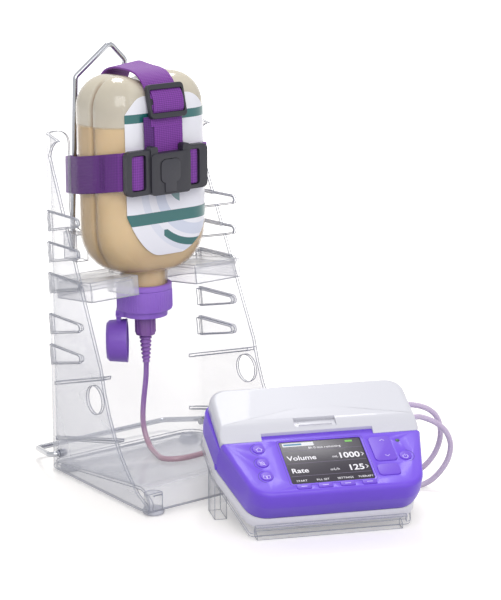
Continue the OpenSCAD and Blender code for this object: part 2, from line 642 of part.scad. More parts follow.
module screw_cap() color([0.59, 0.44, 0.82]) in_bottle() difference() {
    union() {
        translate([0, 0, cap_top - cap_h]) cylinder(h = cap_h - ring_h - gap, d = cap_d);
        translate([0, 0, cap_top - cap_h - flange_h]) cylinder(h = flange_h + eps, r = flange_r);
        // ears of the lid's hinge
        rotate([0, 0, lid_turn]) for (y = [-7, 4]) block([-flange_r - 4.4, -12], [y, y + 3],
            [cap_top - cap_h - flange_h, cap_top - cap_h + 0.5]);
    }
    translate([0, 0, cap_top - cap_h + 2]) cylinder(h = cap_h, r = neck_r + gap);
    translate([0, 0, cap_top - cap_h - flange_h - 1]) cylinder(h = flange_h + 4, r = plug_r - 2);
    at_lid_hinge() cylinder(h = 30, r = lid_pin_r + run, center = true);
}

module tamper_ring() color([0.59, 0.44, 0.82]) in_bottle() difference() {
    translate([0, 0, cap_top - ring_h]) cylinder(h = ring_h, d = cap_d);
    translate([0, 0, cap_top - ring_h - 1]) cylinder(h = ring_h + 2, r = neck_r + gap);
}

// The lid hangs open on the cap's left and back, its hinge along Y before it is turned
module at_lid_hinge() {
    rotate([0, 0, lid_turn]) translate([-flange_r - 2.6, 0, cap_top - cap_h - flange_h / 2])
        rotate([90, 0, 0]) children();
}
module flip_lid() color([0.55, 0.4, 0.78]) in_bottle() {
    x1 = -flange_r - 2.6;
    x0 = x1 - 7;     // the lid's flat end, its open side faces the cap
    zc = cap_top - cap_h - flange_h / 2 - lid_r - 5.2;
    rotate([0, 0, lid_turn]) {
        difference() {
            union() {
                translate([x0 - lid_t, 0, zc]) rotate([0, 90, 0])
                    cylinder(h = lid_t, r1 = lid_r - 3, r2 = lid_r - 1);
                translate([x0, 0, zc]) rotate([0, 90, 0]) cylinder(h = lid_rim, r1 = lid_r - 1, r2 = lid_r);
                block([x1 - 1.6, x1 + 1.6], [-3.6, 3.6], [zc + lid_r - 1.6, zc + lid_r + 5.2]);
            }
            translate([x0, 0, zc]) rotate([0, 90, 0]) cylinder(h = lid_rim + 1, r = lid_r - 2.4);
        }
        translate([x0 - eps, 0, zc]) rotate([0, 90, 0]) cylinder(h = 3, r = 5);
    }
    at_lid_hinge() cylinder(h = 7.2, r = 2, center = true);
    at_lid_hinge() cylinder(h = 13, r = lid_pin_r, center = true);
}

module spike_connector() color([0.55, 0.4, 0.65]) in_bottle() {
    z0 = cap_top - cap_h - flange_h - plug_h;
    difference() {
        union() {
            translate([0, 0, z0]) cylinder(h = plug_h, r = plug_r);
            for (a = [0:30:330]) rotate([0, 0, a]) block([plug_r - 0.5, plug_r + 0.6], [-0.6, 0.6],
                [z0 + 1.5, z0 + plug_h - 2]);
            translate([0, 0, z0 + plug_h - eps])
                cylinder(h = -neck_len - gap - z0 - plug_h, r = plug_r - 2 - gap);
        }
        translate([0, 0, z0 - 1]) cylinder(h = 40, r = 1.4);
    }
}

module strain_relief() color([0.58, 0.44, 0.7]) in_bottle() {
    z1 = cap_top - cap_h - flange_h - plug_h;
    difference() {
        union() {
            translate([0, 0, z1 - sleeve_h]) cylinder(h = sleeve_h, r1 = 2.6, r2 = 4.4);
            for (k = [0:5]) translate([0, 0, z1 - 3 - 3 * k]) cylinder(h = 1.3, r = 4.5 - 0.27 * k);
        }
        translate([0, 0, z1 - sleeve_h - 1]) cylinder(h = sleeve_h + 2, r = 1.4);
    }
}

module feed_tube() color([0.6, 0.45, 0.72]) in_stand()
    tube(concat([[0, bottle_y + tube_top * sin(bottle_lean), bottle_z + tube_top * cos(bottle_lean) - 0.2]],
        [for (i = [1:len(feed_route) - 1]) feed_route[i]], [for (p = feed_rise) from_tray(p)],
        [port(0, right_x + 2), port(0, bay[1] + 7)]), tube_r);

module patient_tube() color([0.75, 0.65, 0.8]) in_stand()
    tube(concat([port(1, bay[1] + 7), port(1, right_x + 2)],
        [for (p = patient_drop) from_tray(p)]), tube_r);

module tube_coil() color([0.75, 0.65, 0.8]) in_tray() translate([coil_at[0], coil_at[1], 0.1])
    rotate_extrude() translate([coil_in, 0]) square([coil_out - coil_in, coil_h]);

module coil_tie() color([0.9, 0.9, 0.9]) in_tray()
    translate([coil_at[0], coil_at[1], 0.1]) rotate([0, 0, 200])
    difference() {
        block([coil_in - 1.3, coil_out + 1.3], [-2.5, 2.5], [-0.1, coil_h + 1.3]);
        block([coil_in - gap, coil_out + gap], [-3, 3], [-1, coil_h + gap]);
    }

module tail_tube() color([0.75, 0.65, 0.8]) in_tray() tube(tail_route, tube_r);

module at_connector() {
    in_tray() translate(tail_route[len(tail_route) - 1]) rotate([0, 0, connector_turn]) rotate([0, 90, 0])
        translate([0, 0, gap]) children();
}
module patient_connector() color([0.5, 0.3, 0.65]) at_connector() difference() {
    union() {
        cylinder(h = 8, r1 = 2.6, r2 = 3.4);
        translate([0, 0, 8]) cylinder(h = 12, r = 4.2);
        for (a = [0:60:300]) rotate([0, 0, a]) block([3.5, 4.8], [-0.7, 0.7], [9, 19]);
    }
    translate([0, 0, -1]) cylinder(h = 30, r = 1.4);
    translate([0, 0, 13]) cylinder(h = 8, r = 2.8);
}

module connector_cap() color([0.5, 0.3, 0.65]) at_connector() {
    translate([0, 0, 20 + gap]) cylinder(h = 2.5, r = 4.4);
    translate([0, 0, 15]) cylinder(h = 5.5 + gap, r = 2.8 - gap);
}

module pump_tray() color([0.93, 0.95, 0.97, 0.4]) {
    in_pump() {
        prism(outline(tray_circles), tray_bottom, tray_bottom + tray_t);
        block([-52, 53], [foot_front - 3, foot_front - gap], [tray_bottom, 9]);
    }
    // toe and legs, upright on the table
    in_tray() {
        side_plate([[4.2, 0], [12, 0], [12, 7], [4.2, 3.6]], -50, 51);
        for (s = [-1, 1]) mirror([s < 0 ? 1 : 0, 0, 0]) side_plate([[leg_h[0], 0], [leg_h[1], 0],
            [leg_h[1], leg_h[1] * tan(pump_tilt) + 2.5], [leg_h[0], leg_h[0] * tan(pump_tilt) + 2.5]],
            tray_leg_x[0], tray_leg_x[1] - 1.5);
    }
}

// The pump's body outline, moved outwards by grow
function body(grow = 0) = outline(body_ring(body_front), grow);
function foot(grow = 0) = outline(body_ring(foot_front), grow);   // at the seam and below it

module screw_posts(from, to, r, places = screw_at) {
    for (p = places) translate([p[0], p[1], from]) cylinder(h = to - from, r = r);
}

module pump_rear_shell() color([0.93, 0.93, 0.95]) in_pump() difference() {
    union() {
        difference() {
            prism(foot(-0.5), pump_bottom, seam_n);
            prism(foot(-0.5 - shell_t), pump_bottom + shell_t, seam_n + 1);
        }
        screw_posts(pump_bottom + 1, seam_n, 4);
    }
    screw_posts(pump_bottom - 1, seam_n + 1, 1.6);
    screw_posts(pump_bottom - 1, pump_bottom + 2.4, 2.9);
    for (x = [-8, 0, 8]) translate([x, 60, 0]) cylinder(h = 12, r = 1.8);
}

module shell_gasket() color([0.35, 0.35, 0.38]) in_pump() difference() {
    prism(foot(-0.9), seam_n, seam_n + gasket_t);
    prism(foot(-shell_t), seam_n - 1, seam_n + 2);
}

module face_plan() {   // the part of the body in front of the door
    intersection() {
        polygon(body(0));
        union() {
            translate([-big / 2, -10]) square([big, 10 + door_u - gap]);
            translate([-door_notch_w + gap, 0]) square([2 * (door_notch_w - gap), door_notch_u - gap]);
        }
    }
}

module pump_front_shell() color([0.5, 0.38, 0.85]) in_pump() {
    s0 = seam_n + gasket_t;
    difference() {
        union() {
            hull() {
                prism(foot(0), s0, s0 + 1);
                prism(body(0), waist_n, deck_n);
            }
            intersection() {
                hull() {
                    prism(body(0), deck_n - 1, face_n - 2.2);
                    prism(body(-2.2), deck_n - 1, face_n);
                }
                linear_extrude(face_n + 1) face_plan();
            }
        }
        // the hollow inside, under the face and under the deck
        prism(foot(-shell_t), s0 - 1, deck_n - shell_t);
        intersection() {
            prism(body(-shell_t), waist_n + shell_t, face_n - shell_t);
            block([-big, big], [0, door_u - gap - face_wall], [s0, face_n]);
        }
        block([-display_w / 2 - 4, display_w / 2 + 4], [10, display_u + display_h / 2 + 1],
            [s0, face_n - 1.2]);
        // display and keys
        prism(rect_about(0, display_u, display_w + 2 * gap, display_h + 2 * gap, 1.5), s0, face_n + 1);
        for (k = round_keys) translate([k[0], k[1], s0]) cylinder(h = 40, d = key_d + gap);
        translate([power_key[0], power_key[1], s0]) cylinder(h = 40, d = key_d + gap);
        for (x = soft_key_x)
            prism(rect_about(x, soft_key_u, 10 + gap, 4 + gap, 1.2), waist_n + shell_t, face_n + 1);
        for (k = [rocker, enter]) prism(rect_about(k[0], k[1], k[2] + gap, k[3] + gap, 3), s0, face_n + 1);
        translate([light_at[0], light_at[1], s0]) cylinder(h = 40, r = 1.5 + 0.1);
        // the trough that the door's back edge turns in
        block([-big, big], [trough_u, pump_len + 5], [trough_n, deck_n + 1]);
        // the tube bay and its ports
        block([bay[0], bay[1]], [bay[2], bay[3]], [bay_floor, deck_n + 1]);
        for (u = port_u) {
            translate([bay[1] - 1, u, port_n]) rotate([0, 90, 0]) cylinder(h = 20, r = tube_r + gap);
            block([bay[1] - 1, bay[1] + 20], [u - tube_r - gap, u + tube_r + gap], [port_n, deck_n + 1]);
        }
    }
    // the bay's own floor and walls, hung from the deck
    difference() {
        block([bay[0] - shell_t, bay[1] + shell_t], [bay[2] - shell_t, bay[3] + shell_t],
            [bay_floor - shell_t, deck_n - shell_t + eps]);
        block([bay[0], bay[1]], [bay[2], bay[3]], [bay_floor, deck_n + 1]);
        translate([rotor_x, rotor_u, bay_floor - 4]) cylinder(h = 8, r = 3);
        for (u = port_u) translate([bay[1] - 1, u, port_n]) rotate([0, 90, 0])
            cylinder(h = 20, r = tube_r + gap);
    }
    // the trough's floor and front wall
    difference() {
        intersection() {
            prism(body(-1), trough_n - shell_t, deck_n - eps);
            union() {
                block([-big, big], [trough_u - trough_wall, pump_len], [trough_n - shell_t, trough_n]);
                block([-big, big], [trough_u - trough_wall, trough_u], [trough_n - shell_t, deck_n]);
            }
        }
        block([bay[0], bay[1]], [bay[2], bay[3]], [bay_floor, deck_n + 1]);
    }
    // lugs of the hinge stand on the trough's floor
    for (s = [-1, 1]) difference() {
        union() {
            block([s * hinge_x - 4, s * hinge_x + 4], [hinge_u - lug, hinge_u + lug],
                [trough_n - 1, hinge_n]);
            translate([s * hinge_x - 4, hinge_u, hinge_n]) rotate([0, 90, 0]) cylinder(h = 8, r = lug);
        }
        translate([s * hinge_x - 8, hinge_u, hinge_n]) rotate([0, 90, 0])
            cylinder(h = 16, r = hinge_r + run);
    }
    difference() {   // screw posts
        screw_posts(s0, face_n - shell_t + eps, 3.4, face_screws);
        screw_posts(s0, deck_n - shell_t + eps, 3.4, deck_screws);
        screw_posts(s0 - 1, s0 + 12, 1.2);
    }
}

module display_window() color([0.15, 0.14, 0.18, 0.7]) in_pump()
    prism(rect_about(0, display_u, display_w, display_h, 1.2), face_n - 1.6, face_n - 0.3);

module display_module() color([0.2, 0.2, 0.25]) in_pump()
    prism(rect_about(0, display_u, display_w - 0.8, display_h - 0.8), board_n + board_t, face_n - 1.9);

module circuit_board() color([0.1, 0.4, 0.2]) in_pump() difference() {
    block([-49, 56], [14, 53], [board_n, board_n + board_t]);
    screw_posts(board_n - 1, board_n + 4, 3.4 + gap);
}

module battery() color([0.3, 0.45, 0.65]) in_pump()
    block([-54, -12], [32, 70], [pump_bottom + shell_t + gap, 24]);

module drive_motor() color([0.7, 0.7, 0.72]) in_pump() {
    translate([rotor_x, rotor_u, pump_bottom + shell_t + gap])
        cylinder(h = bay_floor - pump_bottom - 2 * shell_t - 2 * gap, r = 10);
    translate([rotor_x, rotor_u, bay_floor - 4]) cylinder(h = 12, r = 1.5);
}

module pump_rotor() color([0.85, 0.85, 0.88]) in_pump() difference() {
    union() {
        translate([rotor_x, rotor_u, bay_floor + gap]) cylinder(h = 2.4, r = 7);
        translate([rotor_x, rotor_u, bay_floor + gap]) cylinder(h = 8.4, r = 2.1);
    }
    translate([rotor_x, rotor_u, bay_floor - 1]) cylinder(h = 20, r = 1.5 + run);
}

module rotor_rollers() color([0.9, 0.9, 0.92]) in_pump() for (a = [0:120:240])
    translate([rotor_x, rotor_u, 0]) rotate([0, 0, a]) translate([3.6, 0, bay_floor + gap + 2.4])
        cylinder(h = 5.4, r = 1.2);

// The tube of the cassette: two straight runs and a half turn round the rotor
module segment_line(r) {
    for (u = port_u) translate([rotor_x, u, port_n]) rotate([0, 90, 0])
        cylinder(h = bay[1] - rotor_x + 5, r = r);
    translate([rotor_x, rotor_u, port_n]) rotate([0, 0, 90]) rotate_extrude(angle = 180)
        translate([(port_u[0] - port_u[1]) / 2, 0]) circle(r = r);
}
module pump_segment() color([0.95, 0.93, 0.9]) in_pump() difference() {
    segment_line(tube_r - 0.1);
    segment_line(tube_r - 0.9);
}

module tube_cassette() color([0.8, 0.7, 0.9]) in_pump() difference() {
    block([bay[0] + 1, bay[1] - gap], [bay[2] + gap + 0.5, bay[3] - 1], [bay_floor + gap, port_n + 1]);
    translate([rotor_x, rotor_u, bay_floor - 1])
        cylinder(h = 30, r = (port_u[0] - port_u[1]) / 2 + tube_r + 0.2);
    block([rotor_x, bay[1] + 1], [port_u[1] - tube_r - 0.2, port_u[0] + tube_r + 0.2],
        [bay_floor - 1, deck_n]);
}

function door_plan(front, grow = 0) = outline(door_ring(front), grow);
module pump_door() color([0.93, 0.93, 0.95]) in_pump() difference() {
    hull() {
        prism(door_plan(door_u), door_bottom, face_n + 1);
        prism(door_plan(door_crease_u, -3), door_bottom, door_n);
    }
    // hollow under the door, its notch round the display and round the hinge lugs
    difference() {
        prism(door_plan(door_u, -shell_t), door_bottom - 1, face_n - shell_t);
        block([-60, 60], [hinge_u - 5, pump_len], [0, big]);
        block([-door_notch_w - shell_t, door_notch_w + shell_t], [0, door_notch_u + shell_t], [0, big]);
    }
    block([-door_notch_w, door_notch_w], [0, door_notch_u], [0, big]);
    for (s = [-1, 1]) block([s * hinge_x - 4.5, s * hinge_x + 4.5],
        [hinge_u - 6, pump_len + 5], [0, hinge_n + 4]);
    for (s = [-1, 1]) translate([s * hinge_x - 12, hinge_u, hinge_n]) rotate([0, 90, 0])
        cylinder(h = 24, r = hinge_r + run);
    // the latch's seat
    block([-latch_w / 2 - gap, latch_w / 2 + gap], [latch_u - gap, latch_u + latch_l + latch_travel + gap],
        [latch_n - gap, big]);
    for (u = port_u) block([bay[1], right_x + 5],
        [u - tube_r - 1, u + tube_r + 1], [0, port_n + tube_r + gap]);
}

module door_hinge_pins() color([0.7, 0.7, 0.72]) in_pump()
    for (s = [-1, 1]) translate([s * hinge_x - 11, hinge_u, hinge_n]) rotate([0, 90, 0])
        cylinder(h = 22, r = hinge_r);

module door_latch() color([0.9, 0.9, 0.92]) in_pump() {
    block([-latch_w / 2, latch_w / 2], [latch_u, latch_u + latch_l], [latch_n, latch_n + 1.8]);
    block([-latch_w / 2 + 3, latch_w / 2 - 3], [latch_u + 1, latch_u + 2.2], [latch_n + 1, latch_n + 3]);
}

key_n = face_n - shell_t - gap - key_flange;   // underside of a key
module round_key(p) color([0.5, 0.38, 0.85]) in_pump() translate([p[0], p[1], key_n]) {
    cylinder(h = key_top - key_n, d = key_d);
    cylinder(h = key_flange, d = key_d + 1.4);
}
module block_key(x, u, w, h, r) color([0.5, 0.38, 0.85]) in_pump() {
    prism(rect_about(x, u, w, h, r), key_n, key_top);
    prism(rect_about(x, u, w + 1.4, h + 1, r), key_n, key_n + key_flange);
}
module key_home() round_key(round_keys[0]);
module key_mute() round_key(round_keys[1]);
module key_info() round_key(round_keys[2]);
module key_power() round_key(power_key);
module key_rocker() block_key(rocker[0], rocker[1], rocker[2], rocker[3], 3);
module key_enter() block_key(enter[0], enter[1], enter[2], enter[3], 3);
module soft_key(i) block_key(soft_key_x[i], soft_key_u, 10, 4, 1.2);

module status_light() color([0.3, 0.8, 0.4]) in_pump() translate([light_at[0], light_at[1], face_n - 4])
    cylinder(h = 4.2, r = 1.5);

module shell_screws() color([0.6, 0.6, 0.62]) in_pump() for (p = screw_at) translate([p[0], p[1], 0]) {
    translate([0, 0, pump_bottom + 0.4]) cylinder(h = 2, r = 2.7);
    translate([0, 0, pump_bottom + 1]) cylinder(h = 16, r = 1.15);
}

module charge_contacts() color([0.8, 0.65, 0.3]) in_pump() for (x = [-8, 0, 8])
    translate([x, 60, pump_bottom + 0.2]) cylinder(h = shell_t + 1, r = 1.7);

stand_shell();
rubber_feet();
bottle_shelf();
wire_hanger();
bottle();
feed_liquid();
bottle_label();
belt_strap();
top_strap();
buckle_frame();
buckle_button();
ladder_lock();
screw_cap();
tamper_ring();
flip_lid();
spike_connector();
strain_relief();
feed_tube();
patient_tube();
tube_coil();
coil_tie();
tail_tube();
patient_connector();
connector_cap();
pump_tray();
pump_rear_shell();
shell_gasket();
pump_front_shell();
display_window();
display_module();
circuit_board();
battery();
drive_motor();
pump_rotor();
rotor_rollers();
tube_cassette();
pump_segment();
pump_door();
door_hinge_pins();
door_latch();
key_home();
key_mute();
key_info();
key_power();
key_rocker();
key_enter();
soft_key(0);  // soft_key_1
soft_key(1);  // soft_key_2
soft_key(2);  // soft_key_3
soft_key(3);  // soft_key_4
status_light();
shell_screws();
charge_contacts();
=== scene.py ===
"""Looks of a table stand with a strapped feed bottle and a feeding pump in its tray.

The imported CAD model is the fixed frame. Sizes in this file are millimetres in the frames that
part.scad uses, and every vertex is written in metres in the row frame.
"""

from __future__ import annotations

import json
import logging
import math
from dataclasses import dataclass, field
from enum import Enum
from typing import Any, Callable, Iterable, Sequence

import bmesh
import bpy
from mathutils import Matrix, Vector
from mathutils.bvhtree import BVHTree

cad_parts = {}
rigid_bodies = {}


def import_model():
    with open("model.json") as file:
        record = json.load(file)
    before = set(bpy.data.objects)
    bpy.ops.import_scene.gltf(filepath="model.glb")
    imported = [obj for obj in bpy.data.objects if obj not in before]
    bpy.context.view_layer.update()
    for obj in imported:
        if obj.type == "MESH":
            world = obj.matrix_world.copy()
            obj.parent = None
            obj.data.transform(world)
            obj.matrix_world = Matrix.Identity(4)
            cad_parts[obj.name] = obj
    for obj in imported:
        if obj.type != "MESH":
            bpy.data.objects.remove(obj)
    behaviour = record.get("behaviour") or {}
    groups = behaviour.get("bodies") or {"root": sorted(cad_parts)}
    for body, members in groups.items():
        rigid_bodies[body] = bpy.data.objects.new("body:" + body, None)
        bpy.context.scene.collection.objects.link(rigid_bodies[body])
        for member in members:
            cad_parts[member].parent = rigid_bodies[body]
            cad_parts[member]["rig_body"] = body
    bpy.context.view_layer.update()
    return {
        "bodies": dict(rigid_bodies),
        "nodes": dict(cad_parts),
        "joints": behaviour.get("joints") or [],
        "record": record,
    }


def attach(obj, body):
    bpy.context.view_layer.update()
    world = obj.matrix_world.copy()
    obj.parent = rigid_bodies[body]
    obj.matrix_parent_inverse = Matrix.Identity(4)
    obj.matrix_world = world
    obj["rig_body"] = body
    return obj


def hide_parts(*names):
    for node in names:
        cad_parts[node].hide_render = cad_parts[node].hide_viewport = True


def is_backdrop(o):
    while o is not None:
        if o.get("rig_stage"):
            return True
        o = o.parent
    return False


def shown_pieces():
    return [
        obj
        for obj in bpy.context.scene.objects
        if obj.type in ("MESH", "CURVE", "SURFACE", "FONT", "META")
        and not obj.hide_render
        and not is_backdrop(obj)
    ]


LOG = logging.getLogger("feeding_set")
MM = 0.001
WIDTH, HEIGHT = 501, 600
Point = tuple[float, float]
Triple = tuple[float, float, float]
Quad = tuple[float, float, float, float]
MAP_ROUND = 12.5  # the width of a bar's map, which no finish uses
LETTER_DEPTH = 0.03


# ---------------------------------------------------------------- places


@dataclass(frozen=True)
class Place:
    """A set of axes in the row frame, in millimetres."""

    origin: Vector
    x: Vector
    y: Vector
    z: Vector

    def at(self, x: float, y: float, z: float) -> Vector:
        """Turns a point of this place into metres of the row frame."""
        return (self.origin + self.x * x + self.y * y + self.z * z) * MM

    def inside(self, point: Vector) -> Vector:
        """Turns metres of the row frame into this place's millimetres."""
        d = point / MM - self.origin
        return Vector((d.dot(self.x), d.dot(self.y), d.dot(self.z)))

    def moved(self, x: float, y: float, z: float) -> Place:
        """The same axes about another point of this place."""
        return Place(self.at(x, y, z) / MM, self.x, self.y, self.z)

    def matrix(self, x: float, y: float, z: float) -> Matrix:
        """The matrix that puts a mesh made in metres at a point of this place."""
        turn = Matrix((self.x, self.y, self.z)).transposed().to_4x4()
        return Matrix.Translation(self.at(x, y, z)) @ turn


def turned(origin: Vector, yaw: float, tilt: float) -> Place:
    """A place turned about Z by yaw and then tilted about its own X, in degrees."""
    a, t = math.radians(yaw), math.radians(tilt)
    x = Vector((math.cos(a), math.sin(a), 0))
    flat = Vector((-math.sin(a), math.cos(a), 0))
    up = Vector((0, 0, 1))
    return Place(
        origin, x, flat * math.cos(t) + up * math.sin(t), up * math.cos(t) - flat * math.sin(t)
    )


SHIFT = Vector((-17.6, -7.6, 0))
PUMP_YAW, PUMP_TILT = -24.5, 23.0
SHELF_TILT, LEAN = 7.0, 1.5
SHELF_FRONT = (69.0, 150.3)
BOTTLE_Y = 97.0
BOTTLE_Z = SHELF_FRONT[1] - (BOTTLE_Y - SHELF_FRONT[0]) * math.tan(math.radians(SHELF_TILT)) + 0.9
STAND = turned(SHIFT, 0, 0)
SHELF = turned(SHIFT + Vector((0, SHELF_FRONT[0], SHELF_FRONT[1])), 0, -SHELF_TILT)
BOTTLE = turned(SHIFT + Vector((0, BOTTLE_Y, BOTTLE_Z)), 0, -LEAN)
TRAY = turned(SHIFT + Vector((4.9, -109.2, 0)), PUMP_YAW, 0)
PUMP = turned(SHIFT + Vector((4.9, -109.2, 0)), PUMP_YAW, PUMP_TILT)


# ---------------------------------------------------------------- shader maths


def srgb(r: float, g: float, b: float) -> Quad:
    """Turns a colour of 0 to 255 into the linear values that Blender's sockets take."""

    def one(c: float) -> float:
        """One channel."""
        c /= 255
        return c / 12.92 if c <= 0.04045 else ((c + 0.055) / 1.055) ** 2.4

    return one(r), one(g), one(b), 1.0


def scaled(colour: Quad, by: float) -> Quad:
    """A linear colour made darker or lighter, at most white."""
    r, g, b = (min(1.0, c * by) for c in colour[:3])
    return r, g, b, 1.0


def add_node(tree: Any, kind: str, settings: dict[str, Any] | None = None,
             inputs: dict[Any, Any] | None = None) -> Any:
    """Adds a node to a tree.

    Args:
        tree: the node tree.
        kind: the node's type.
        settings: its properties, which are set first.
        inputs: values or sockets by input name or index.

    Returns:
        The node.
    """
    made = tree.nodes.new(kind)
    for key, value in (settings or {}).items():
        setattr(made, key, value)
    for key, value in (inputs or {}).items():
        if isinstance(value, Value):
            value = value.socket
        if isinstance(value, bpy.types.NodeSocket):
            tree.links.new(value, made.inputs[key])
        else:
            made.inputs[key].default_value = value
    return made


def operator(operation: str, swapped: bool = False) -> Callable[..., Value]:
    """Makes a method of Value that adds one Math node, this value last if swapped."""

    def method(self: Value, *others: Any) -> Value:
        """Adds the node."""
        return self.graph.math(operation, *((*others, self) if swapped else (self, *others)))

    return method


class Value:
    """A socket whose operators add Math nodes."""

    def __init__(self, graph: Graph, socket: Any) -> None:
        """Wraps a socket of the graph."""
        self.graph, self.socket = graph, socket

    __add__ = operator("ADD")
    __sub__ = operator("SUBTRACT")
    __rsub__ = operator("SUBTRACT", swapped=True)
    __mul__ = operator("MULTIPLY")
    __truediv__ = operator("DIVIDE")
    __pow__ = operator("POWER")
    __gt__ = operator("GREATER_THAN")
    __lt__ = operator("LESS_THAN")
    __abs__ = operator("ABSOLUTE")
    sin = operator("SINE")

    def clamp(self) -> Value:
        """This value held between 0 and 1."""
        made = self + 0.0
        made.socket.node.use_clamp = True
        return made

    def step(self, low: float, high: float) -> Value:
        """A smooth rise from 0 at low to 1 at high."""
        node = self.graph.node("ShaderNodeMapRange", {"interpolation_type": "SMOOTHSTEP"},
                               {0: self, 1: low, 2: high, 3: 0.0, 4: 1.0})
        return Value(self.graph, node.outputs[0])


class Graph:
    """The node tree of one material."""

    def __init__(self, name: str) -> None:
        """Makes an empty material."""
        self.material = bpy.data.materials.new(name)
        self.material.use_nodes = True
        self.tree = self.material.node_tree
        self.tree.nodes.clear()
        self.out = self.node("ShaderNodeOutputMaterial")

    def node(self, kind: str, settings: dict[str, Any] | None = None,
             inputs: dict[Any, Any] | None = None) -> Any:
        """Adds a node to this tree."""
        return add_node(self.tree, kind, settings, inputs)

    def math(self, operation: str, *values: Any) -> Value:
        """Adds a Math node on values."""
        node = self.node("ShaderNodeMath", {"operation": operation}, dict(enumerate(values)))
        return Value(self, node.outputs[0])

    def mix(self, factor: Any, a: Any, b: Any) -> Any:
        """Mixes two colours and returns the colour socket."""
        node = self.node("ShaderNodeMix", {"data_type": "RGBA"}, {0: factor, 6: a, 7: b})
        return node.outputs[2]

    def mapped(self, kind: str) -> Any:
        """One of the surface point's coordinate sets."""
        return self.node("ShaderNodeTexCoord").outputs[kind]

    def place_axes(self, place: Place) -> tuple[Value, Value, Value]:
        """The surface point's three coordinates in a place, in millimetres."""
        spot = self.mapped("Object")
        x, y, z = (Value(self, self.node(
            "ShaderNodeVectorMath", {"operation": "DOT_PRODUCT"},
            {0: spot, 1: tuple(axis / MM)}).outputs["Value"]) - place.origin.dot(axis)
            for axis in (place.x, place.y, place.z))
        return x, y, z

    def noise(self, size: float, detail: float = 2.0) -> Value:
        """Noise of 0 to 1 whose features are about size millimetres across."""
        return Value(self, self.node("ShaderNodeTexNoise", None, {
            "Vector": self.mapped("Object"), "Scale": 1 / (size * MM),
            "Detail": detail}).outputs[0])

    def uv(self) -> tuple[Value, Value]:
        """The piece's own map, u and v."""
        split = self.node("ShaderNodeSeparateXYZ", None, {0: self.mapped("UV")})
        return Value(self, split.outputs[0]), Value(self, split.outputs[1])

    def bump(self, height: Any, strength: float, distance: float) -> Any:
        """A Bump node's normal, distance in millimetres."""
        return self.node("ShaderNodeBump", None, {
            "Strength": strength, "Distance": distance * MM, "Height": height}).outputs[0]

    def facing(self, blend: float = 0.5) -> Value:
        """Layer Weight's facing value, 0 face on and 1 at the rim."""
        node = self.node("ShaderNodeLayerWeight", None, {"Blend": blend})
        return Value(self, node.outputs["Facing"])

    def surface(self, **inputs: Any) -> bpy.types.Material:
        """Ends the tree in a Principled surface and returns the material."""
        node = self.node("ShaderNodeBsdfPrincipled", None,
                         {key.replace("_", " "): value for key, value in inputs.items()})
        self.tree.links.new(node.outputs[0], self.out.inputs[0])
        return self.material


# ---------------------------------------------------------------- finishes


@dataclass(frozen=True)
class Moulded:
    """Moulded opaque plastic or rubber with a fine surface grain."""

    name: str
    colour: Triple
    roughness: float = 0.4
    grain: float = 0.05
    grain_size: float = 0.6
    shade: float = 0.06
    metallic: float = 0.0
    coat: float = 0.0

    def make(self) -> bpy.types.Material:
        """Builds the material."""
        g = Graph(self.name)
        broad, fine = g.noise(25.0), g.noise(self.grain_size, 3.0)
        base = srgb(*self.colour)
        return g.surface(
            Base_Color=g.mix(broad, scaled(base, 1 - self.shade), scaled(base, 1 + self.shade)),
            Roughness=(fine - 0.5) * 0.12 + self.roughness,
            Metallic=self.metallic,
            Coat_Weight=self.coat,
            Normal=g.bump(fine, self.grain, 0.08),
        )


@dataclass(frozen=True)
class Clear:
    """Clear moulded plastic: nearly unseen face on, paler and firmer where it turns away."""

    name: str
    colour: Triple
    face: float
    turn: float
    roughness: float = 0.08
    flow: float = 0.0

    def make(self) -> bpy.types.Material:
        """Builds the material."""
        g = Graph(self.name)
        turn = g.facing(0.5)
        wave = g.noise(38.0, 1.0)
        alpha = turn ** 3 * self.turn + self.face + (wave - 0.5) * self.flow
        base = srgb(*self.colour)
        return g.surface(
            Base_Color=g.mix((turn ** 2).clamp(), base, scaled(base, 0.8)),
            Roughness=(g.noise(6.0) - 0.5) * 0.04 + self.roughness,
            Alpha=alpha.clamp(),
            IOR=1.49,
            Normal=g.bump(wave, 0.15, 0.5),
        )


@dataclass(frozen=True)
class Webbing:
    """Woven webbing whose map runs across and along it in millimetres, darker towards the stand's
    left by painted shade.
    """

    name: str
    colour: Triple
    dark: Triple
    # the colour of the painted shade towards the stand's left
    side: Triple = (92, 30, 120)
    rib: float = 1.25
    cord: float = 1.9

    def make(self) -> bpy.types.Material:
        """Builds the material."""
        g = Graph(self.name)
        across, along = g.uv()
        rows = (along * (2 * math.pi / self.rib)).sin() * 0.5 + 0.5
        cords = (across * (2 * math.pi / self.cord)).sin() * 0.5 + 0.5
        weave = rows * 0.62 + cords * 0.38
        fuzz = g.noise(0.5, 3.0)
        tone = (weave * 0.75 + fuzz * 0.35).clamp()
        x, _, _ = g.place_axes(STAND)
        # painted shade: mixes in the darker side colour towards the stand's left, where the webbing
        # turns away from the light
        lit = g.mix(x.step(-46.0, -30.0), srgb(*self.side), srgb(*self.colour))
        return g.surface(
            Base_Color=g.mix(tone, srgb(*self.dark), lit),
            Roughness=0.62,
            Sheen_Weight=0.08,
            Normal=g.bump(weave + fuzz * 0.3, 0.55, 0.35),
        )


